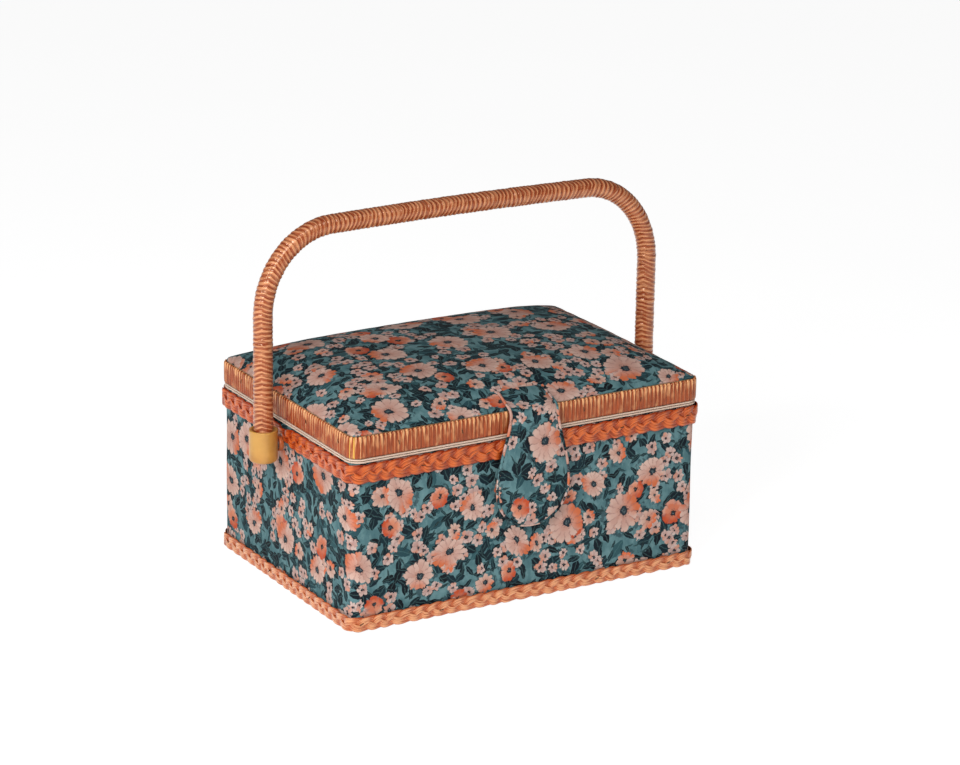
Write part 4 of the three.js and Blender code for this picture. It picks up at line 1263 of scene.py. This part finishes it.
def handle_line(count):
    """Stations along the handle, and its middle line there in (x, z), from foot to foot."""
    leg = np.column_stack([np.full(12, HANDLE_SPAN), np.linspace(WRAP_LOW.z, SHOULDER_Z, 12)])
    turn = np.linspace(0, math.pi / 2, 40)[1:]
    middle = HANDLE_SPAN - SHOULDER_WIDTH
    shoulder = np.column_stack([
        middle + SHOULDER_WIDTH * np.cos(turn), SHOULDER_Z + (GRIP_Z - SHOULDER_Z) * np.sin(turn),
    ])
    x = np.linspace(middle, 0, 20)[1:]
    grip = np.column_stack([x, GRIP_Z + GRIP_CROWN * np.sin(math.pi / 2 * (1 - x / middle))])
    right = np.concatenate([leg, shoulder, grip])
    left = right[:-1] * [-1, 1]
    whole = np.concatenate([left, right[::-1]])
    return evenly_spaced(whole, count)


def handle_wrap():
    """Ribbon wound round the handle in turns that lean and meet in a kink along its length."""
    pitch = 3.05 * MM
    points_per_turn = 7
    sides = 26
    radius = (WRAP_HIGH.y - WRAP_LOW.y) / 2
    _, rough = handle_line(50)
    turns = round(lengths_along(rough)[-1] / pitch)
    stations, line = handle_line(turns * points_per_turn)
    ahead = directions(line)
    centres = np.column_stack([line[:, 0], np.zeros(len(line)), line[:, 1]])
    outer = np.column_stack([-ahead[:, 1], np.zeros(len(line)), ahead[:, 0]])
    angles = angles_round(sides)
    kink_at = math.radians(-38)
    from_kink = np.abs((angles - kink_at + math.pi) % math.tau - math.pi) / math.pi
    lean = 0.95 * np.abs(2 * from_kink - 1)
    wander = 1 + 0.22 * np.sin(stations * 61) + 0.15 * np.sin(stations * 143 + 1)
    drift = 0.2 * np.sin(stations[:, None] * 190 + 2 * angles[None, :])
    winding = stations[:, None] / pitch + lean[None, :] * wander[:, None] + drift
    number = np.floor(winding).astype(int)
    thickness = rng.uniform(0.7, 1.15, turns + 6)[number + 2]
    ridge = np.abs(np.sin(np.pi * winding)) ** 0.55
    reach = radius - 0.62 * MM + 0.6 * MM * ridge * thickness
    around = np.cos(angles)[None, :, None] * outer[:, None, :]
    around = around + np.sin(angles)[None, :, None] * np.array([0.0, -1.0, 0.0])
    grid = centres[:, None, :] + around * reach[:, :, None]
    v = np.arange(sides + 1) / sides * math.tau * radius
    # ridge is also the relief for painted light: the ribbon material paints shade in the grooves and
    # highlights on the ridges
    mesh = grid_mesh(grid, False, True, np.append(stations, stations[-1]), v, caps=True, height=ridge)
    turned_u = np.tile(angles / math.tau, len(stations)) * RIBBON_ROUND
    turned_v = np.repeat(stations, sides) + np.tile(lean, len(stations)) * pitch
    map_points(mesh, np.column_stack([turned_u, turned_v]))
    piece = link("handle_ribbon", mesh, "ribbon")
    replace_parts(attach(piece, "handle"), "handle_wrap")


def turned(name, profile, place, axis, material, sides=48, ring_shaped=False):
    """A piece turned on a lathe: profile is (radius, distance along axis), in metres."""
    angles = angles_round(sides)
    profile = np.array(profile)
    ring = np.stack([np.cos(angles), np.sin(angles)], 1)
    local = np.concatenate([
        profile[:, None, :1] * ring[None], np.repeat(profile[:, None, 1:], sides, 1),
    ], 2)
    turn = Vector((0, 0, 1)).rotation_difference(Vector(axis)).to_matrix()
    grid = local @ np.array(turn).T + np.array(place)
    mesh = grid_mesh(grid, ring_shaped, True, caps=not ring_shaped)
    return link(name, mesh, material)


def ferrules():
    """The plastic cups at the handle's feet: a rounded foot and a soft lip."""
    for side in ("left", "right"):
        low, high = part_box(f"ferrule_{side}")
        radius, height = (high.x - low.x) / 2, high.z - low.z
        bore = radius - 2.2 * MM
        soft, fine = 2.6 * MM, 0.55 * MM  # radii of the foot's and the lip's rounding
        foot = [
            (radius - soft + soft * math.sin(a), soft * (1 - math.cos(a)))
            for a in np.linspace(0, math.pi / 2, 7)
        ]
        lip = [
            (radius - fine + fine * math.cos(a), height - fine + fine * math.sin(a))
            for a in np.linspace(0, math.pi / 2, 5)
        ]
        profile = [(0.2 * MM, 0), (radius * 0.4, 0)] + foot + [
            (radius * 0.985, height * 0.5), (radius * 0.988, height * 0.9),
        ] + lip + [(bore, height - 0.3 * MM), (bore, height * 0.4), (0.2 * MM, height * 0.4)]
        middle = (low + high) / 2
        piece = turned(f"ferrule_cup_{side}", profile, (middle.x, middle.y, low.z), (0, 0, 1), "ferrule")
        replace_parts(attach(piece, "handle"), f"ferrule_{side}")


def washers():
    """Rounded plastic spacers on the handle's pivots, between the case and the cups."""
    for side in ("left", "right"):
        low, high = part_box(f"pivot_washer_{side}")
        radius, thick = (high.y - low.y) / 2, high.x - low.x
        bore = 2.3 * MM
        profile = [
            (bore, 0), (radius - 0.6 * MM, 0), (radius - 0.15 * MM, 0.2 * MM), (radius, 0.7 * MM),
            (radius, thick - 0.7 * MM), (radius - 0.15 * MM, thick - 0.2 * MM),
            (radius - 0.6 * MM, thick), (bore, thick),
        ]
        place = (low.x, (low.y + high.y) / 2, (low.z + high.z) / 2)
        piece = turned(f"pivot_spacer_{side}", profile, place, (1, 0, 0), "washer", 40, True)
        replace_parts(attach(piece, "case"), f"pivot_washer_{side}")


# ------------------------------------------------------------------ linings, pocket, pincushion


QUILT_CELL = 26 * MM
QUILT_POINTS = 2.2 * MM  # how far apart the pads' points are


def quilted_panel(name, node, axis, sign, body):
    """A satin pad quilted in diamonds, standing for a lining board. It faces along the axis."""
    low, high = (np.array(corner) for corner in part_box(node))
    u_axis, v_axis = [i for i in range(3) if i != axis]
    back = low[axis] if sign > 0 else high[axis]
    thick = high[axis] - low[axis]
    sizes = high - low
    columns, rows = (int(sizes[i] / QUILT_POINTS) + 2 for i in (u_axis, v_axis))
    u = np.linspace(low[u_axis], high[u_axis], columns)
    v = np.linspace(low[v_axis], high[v_axis], rows)
    uu, vv = np.meshgrid(u, v, indexing="ij")
    diagonal = np.abs(np.sin(math.pi * (uu + vv) / QUILT_CELL))
    diagonal *= np.abs(np.sin(math.pi * (uu - vv) / QUILT_CELL))
    border = np.minimum.reduce([
        uu - low[u_axis], high[u_axis] - uu, vv - low[v_axis], high[v_axis] - vv,
    ])
    puff = (0.45 + 0.5 * diagonal**0.45) * np.clip(border / (4 * MM), 0.12, 1) ** 0.5
    front = np.zeros((columns, rows, 3))
    front[..., u_axis], front[..., v_axis] = uu, vv
    front[..., axis] = back + sign * thick * puff
    behind = front.copy()
    behind[..., axis] = back
    points = np.concatenate([front, behind[:, ::-1]], 1)
    mesh = grid_mesh(points, False, True, caps=True)
    map_points(mesh, points_of(mesh)[:, [u_axis, v_axis]] + 0.5)
    piece = link(name, mesh, "satin")
    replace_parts(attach(piece, body), node)


def linings():
    """Quilted pads on the walls, the base and the lid."""
    for place, axis, sign in (
        ("front", 1, 1), ("back", 1, -1), ("left", 0, 1), ("right", 0, -1), ("base", 2, 1),
    ):
        quilted_panel(f"lining_pad_{place}", f"lining_{place}", axis, sign, "case")
    quilted_panel("lid_lining_pad", "lid_lining", 2, -1, "lid")


def edge_binding():
    """Satin tape folded over the top edge of the walls."""
    outer_x, outer_y = COVER_HIGH.x - 0.95 * MM, COVER_HIGH.y - 0.95 * MM
    inner_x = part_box("lining_left")[1].x * -1 - 0.05 * MM
    width = outer_x - inner_x
    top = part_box("front_wall")[1].z
    length, stations, outer, _ = even_outline(outer_x, outer_y, COVER_RADIUS, 360)
    scale = length / bend_length(outer_x - width, outer_y - width, 1 * MM)
    inner, _ = outline(outer_x - width, outer_y - width, 1 * MM, stations / scale)
    columns = []
    for share, z in ((0, 0.02), (0.03, 0.2), (0.5, 0.24), (0.97, 0.2), (1, 0.02), (0.5, 0.02)):
        columns.append(at_height(outer * (1 - share) + inner * share, top + z * MM))
    mesh = ring_mesh(columns, stations, length)
    piece = link("wall_top_binding", mesh, "satin")
    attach(piece, "case")


def lid_side_lining():
    """Satin gathered along the inner faces of the lid's frame."""
    rail_low, rail_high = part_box("lid_rail_right")
    half_x = rail_low.x - 0.1 * MM
    half_y = rail_high.y + 0.2 * MM
    bottom, top = rail_low.z + 0.3 * MM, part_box("lid_lining")[0].z + 1 * MM
    length, stations, points, normals = even_outline(half_x, half_y, 1.5 * MM, 620)
    gathers = (0.28 * np.sin(stations * 900) + 0.16 * np.sin(stations * 1430)) * MM
    columns = []
    for depth, share in ((0, 0), (0.55, 0.05), (0.8, 0.35), (0.8, 0.7), (0.6, 1), (0, 1)):
        inward = depth * MM + gathers * (depth > 0) * (0.4 + share)
        z = bottom + (top - bottom) * share
        columns.append(at_height(points - normals * inward[:, None], z))
    mesh = ring_mesh(columns, stations, length)
    piece = link("lid_side_lining", mesh, "satin")
    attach(piece, "lid")


def lid_pocket():
    """A satin pocket on the lid lining, gathered along its elastic mouth."""
    low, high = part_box("lid_pocket")
    elastic_low, elastic_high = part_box("pocket_elastic")
    columns, rows = 200, 26
    x = np.linspace(low.x, high.x, columns)
    y = np.linspace(low.y, high.y, rows)
    xx, yy = np.meshgrid(x, y, indexing="ij")
    mouth = 1 - (yy - low.y) / (high.y - low.y)
    fold = 0.5 + 0.5 * np.sin(xx * 640 + 1.3 * np.sin(xx * 170) + 0.6 * mouth)
    border = np.minimum.reduce([xx - low.x, high.x - xx, high.y - yy]) / (6 * MM)
    belly = np.clip(border, 0, 1) ** 0.5
    thick = high.z - low.z
    drop = thick * belly * (0.45 + 0.3 * mouth) + thick * 0.28 * fold * mouth**0.7 * belly
    front = np.stack([xx, yy, high.z - np.clip(drop, 0.15 * MM, thick)], 2)
    behind = np.stack([xx, yy, np.full_like(xx, high.z)], 2)[:, ::-1]
    mesh = grid_mesh(np.concatenate([front, behind], 1), False, True, caps=True)
    map_points(mesh, points_of(mesh)[:, [1, 0]] + 0.7)
    piece = link("gathered_pocket", mesh, "satin")
    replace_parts(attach(piece, "lid"), "lid_pocket")

    middle_y = (elastic_low.y + elastic_high.y) / 2
    half = (elastic_high.y - elastic_low.y) / 2
    sides = 12
    angles = angles_round(sides)
    wave = np.sin(x * 1250) * 0.5 + 0.5
    tall = (elastic_high.z - elastic_low.z) / 2
    grid = np.stack([
        np.repeat(x[:, None], sides, 1),
        middle_y + np.cos(angles)[None, :] * half * (0.75 + 0.25 * wave[:, None]),
        elastic_high.z - tall + np.sin(angles)[None, :] * tall * (0.6 + 0.35 * wave[:, None]),
    ], 2)
    ruffle = link("pocket_ruffle", grid_mesh(grid, False, True, caps=True), "satin")
    map_points(ruffle.data, points_of(ruffle.data)[:, [1, 0]] + 0.2)
    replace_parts(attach(ruffle, "lid"), "pocket_elastic")


def pincushion():
    """A small stuffed pad on the lid lining."""
    low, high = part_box("pincushion")
    middle = (low + high) / 2
    half_x, half_y, half_z = (high - low) / 2
    rings = []
    for angle in np.linspace(-math.pi / 2, math.pi / 2, 16):
        wide = math.cos(angle) ** 0.42
        reach_x, reach_y = max(half_x * wide, 1 * MM), max(half_y * wide, 1 * MM)
        _, _, points, _ = even_outline(reach_x, reach_y, min(reach_x, reach_y) * 0.55, 64)
        z = middle.z + half_z * math.sin(angle) * 0.98
        rings.append(at_height(points + [middle.x, middle.y], z))
    mesh = grid_mesh(np.stack(rings, 0), False, True, caps=True)
    mesh = stuff(remesh(mesh, 3 * MM), lambda co: co[:, 2] > high.z - 1 * MM, 0.6 * MM)
    piece = link("pincushion_pad", mesh, "print")
    map_points(mesh, points_of(mesh)[:, :2] + 1.4)
    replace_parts(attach(piece, "lid"), "pincushion")


# ------------------------------------------------------------------ trays, hinges, staples


def rounded_copy(node, name, material, body, width, segments=2):
    """The CAD piece's own shape with its hard edges rounded off."""
    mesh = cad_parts[node].data.copy()
    piece = link(name, mesh, material, smooth=False)
    with editing(mesh) as editable:
        bmesh.ops.remove_doubles(editable, verts=editable.verts, dist=1e-6)
        bmesh.ops.dissolve_limit(
            editable, angle_limit=math.radians(1), verts=editable.verts, edges=editable.edges,
        )
    bevel = piece.modifiers.new("edges", "BEVEL")
    bevel.width = width
    bevel.segments = segments
    bevel.limit_method = "ANGLE"
    bevel.angle_limit = math.radians(40)
    bevel.harden_normals = True
    apply_modifiers(piece)
    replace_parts(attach(piece, body), node)


def trays():
    """The two compartment trays with softened edges."""
    for side in ("left", "right"):
        name, body = f"compartment_tray_{side}", f"{side}_tray"
        rounded_copy(f"tray_{side}", name, "tray", body, 0.5 * MM)


SCREW_INSET = 4.5 * MM  # from the leaf's free edge
SCREW_OFFSET = 9.5 * MM  # from the leaf's middle


def screw(name, place, body):
    """A small domed screw head, facing the back."""
    radius = 1.7 * MM
    profile = [(radius * math.cos(a), 0.7 * MM * math.sin(a)) for a in np.linspace(0, 1.35, 7)]
    profile = [(radius, -0.3 * MM)] + profile + [(0.1 * MM, 0.5 * MM)]
    piece = turned(name, profile, place, (0, 1, 0), "steel", 20)
    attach(piece, body)


def hinges():
    """The leaves with rounded edges, and two screws in each."""
    for side in ("left", "right"):
        leaves = ((f"hinge_leaf_body_{side}", "case"), (f"hinge_leaf_lid_{side}", "lid"))
        for node, body in leaves:
            rounded_copy(node, f"{node}_plate", "steel", body, 0.12 * MM, 1)
            low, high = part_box(node)
            middle_x, plate_y = (low.x + high.x) / 2, low.y + 0.8 * MM
            z = low.z + SCREW_INSET if body == "case" else high.z - SCREW_INSET
            for number, offset in enumerate((-SCREW_OFFSET, SCREW_OFFSET)):
                screw(f"hinge_screw_{body}_{side}_{number}", (middle_x + offset, plate_y, z), body)


def staple_mesh(place, along, outward, width):
    """One wire staple lying across strands, its ends turned in."""
    t = np.linspace(0, math.pi, 9)
    side = -np.cos(t) * width / 2
    depth = np.sin(t) ** 0.4 * 0.32 * MM - 0.18 * MM
    centres = place + side[:, None] * along + depth[:, None] * outward
    lying = np.cross(along, outward)
    first = unit(np.cross(directions(centres), lying))
    second = np.tile(lying, (len(centres), 1))
    return tube(centres, first, second, np.full(9, 0.2 * MM), np.full(9, 0.24 * MM), 6, False)


STAPLE_WIDTH = 2.6 * MM


def staples(name, node, body, radius, spacing, height, lean):
    """Staples round a plait or the winding, none of them by the cups or under the tab.

    height is the share of the node's height that they are at, and lean is how they are turned.
    """
    low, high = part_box(node)
    length = bend_length(high.x, high.y, radius)
    count = round(length / spacing)
    stations = (np.arange(count) + 0.37) / count * length
    stations += rng.uniform(-4 * MM, 4 * MM, count)
    points, normals = outline(high.x, high.y, radius, stations)
    meshes = []
    for (x, y), (nx, ny) in zip(points, normals):
        near_ferrule = abs(x) > high.x - 1 * MM and abs(y) < 14 * MM
        behind_tab = y < 0 and abs(x) < 30 * MM
        if near_ferrule or behind_tab:
            continue
        outward = np.array([nx, ny, 0.0])
        level = np.array([-ny, nx, 0.0])
        turn = lean + rng.uniform(-0.35, 0.35)
        along = level * math.cos(turn) + np.array([0, 0, 1.0]) * math.sin(turn)
        z = low.z + (high.z - low.z) * height + rng.uniform(-0.8 * MM, 0.8 * MM)
        meshes.append(staple_mesh(np.array([x, y, z]), along, outward, STAPLE_WIDTH))
    piece = join_meshes(name, meshes, "staple")
    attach(piece, body)


# ------------------------------------------------------------------ finishes of the CAD pieces


NODE_FINISHES = {
    "underside": ["underside_cover"],
    "board": ["base_board", "lid_board", "front_wall", "back_wall", "left_wall", "right_wall"],
    "wadding": ["lid_foam"],
    "wood": [
        "corner_post_front_left", "corner_post_front_right", "corner_post_back_left",
        "corner_post_back_right", "tray_ledge_front", "tray_ledge_back", "lid_rail_front",
        "lid_rail_back", "lid_rail_left", "lid_rail_right", "handle_core",
    ],
    "steel": [
        "hinge_pin_left", "hinge_pin_right", "snap_stud", "snap_socket", "pivot_rivet_left",
        "pivot_rivet_right",
    ],
}


def finish_frame_nodes():
    """Materials for the CAD pieces that no Blender piece stands for."""
    for material, names in NODE_FINISHES.items():
        for name in names:
            use_material(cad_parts[name].data, MATERIALS[material])


FLOOR_RADIUS = 6
FLOOR_SIDES = 96


def add_floor():
    """A round floor, a hair below the case's feet."""
    angles = angles_round(FLOOR_SIDES)
    points = np.column_stack([np.cos(angles), np.sin(angles)]) * FLOOR_RADIUS
    mesh = bpy.data.meshes.new("floor")
    ring = at_height(points, -0.2 * MM)
    mesh.from_pydata(ring.tolist(), [], [list(range(FLOOR_SIDES))])
    floor = put_in_scene("floor", mesh)
    use_material(mesh, floor_material())


# ------------------------------------------------------------------ build

add_camera()
add_lights()
add_floor()
finish_frame_nodes()
body_cover()
upper = plait("upper_plait", "upper_braid", "upper_plait", UPPER_BRAID_THICK, 0.4)
lower = plait("lower_plait", "lower_braid", "lower_plait", LOWER_BRAID_THICK)
piping("body_cord", "rim_piping", "case")
piping("lid_cord", "lid_piping", "lid")
rim_winding()
lid_pad()
tab_pieces()
handle_wrap()
ferrules()
washers()
linings()
edge_binding()
lid_side_lining()
lid_pocket()
pincushion()
trays()
hinges()
staples("rim_staples", "lid_rim_wrap", "lid", RIM_RADIUS, 47 * MM, 0.52, math.pi / 2)
staples("upper_staples", "upper_braid", "case", COVER_RADIUS, 50 * MM, 0.5, 0.3)
staples("lower_staples", "lower_braid", "case", COVER_RADIUS, 60 * MM, 0.5, 0.3)
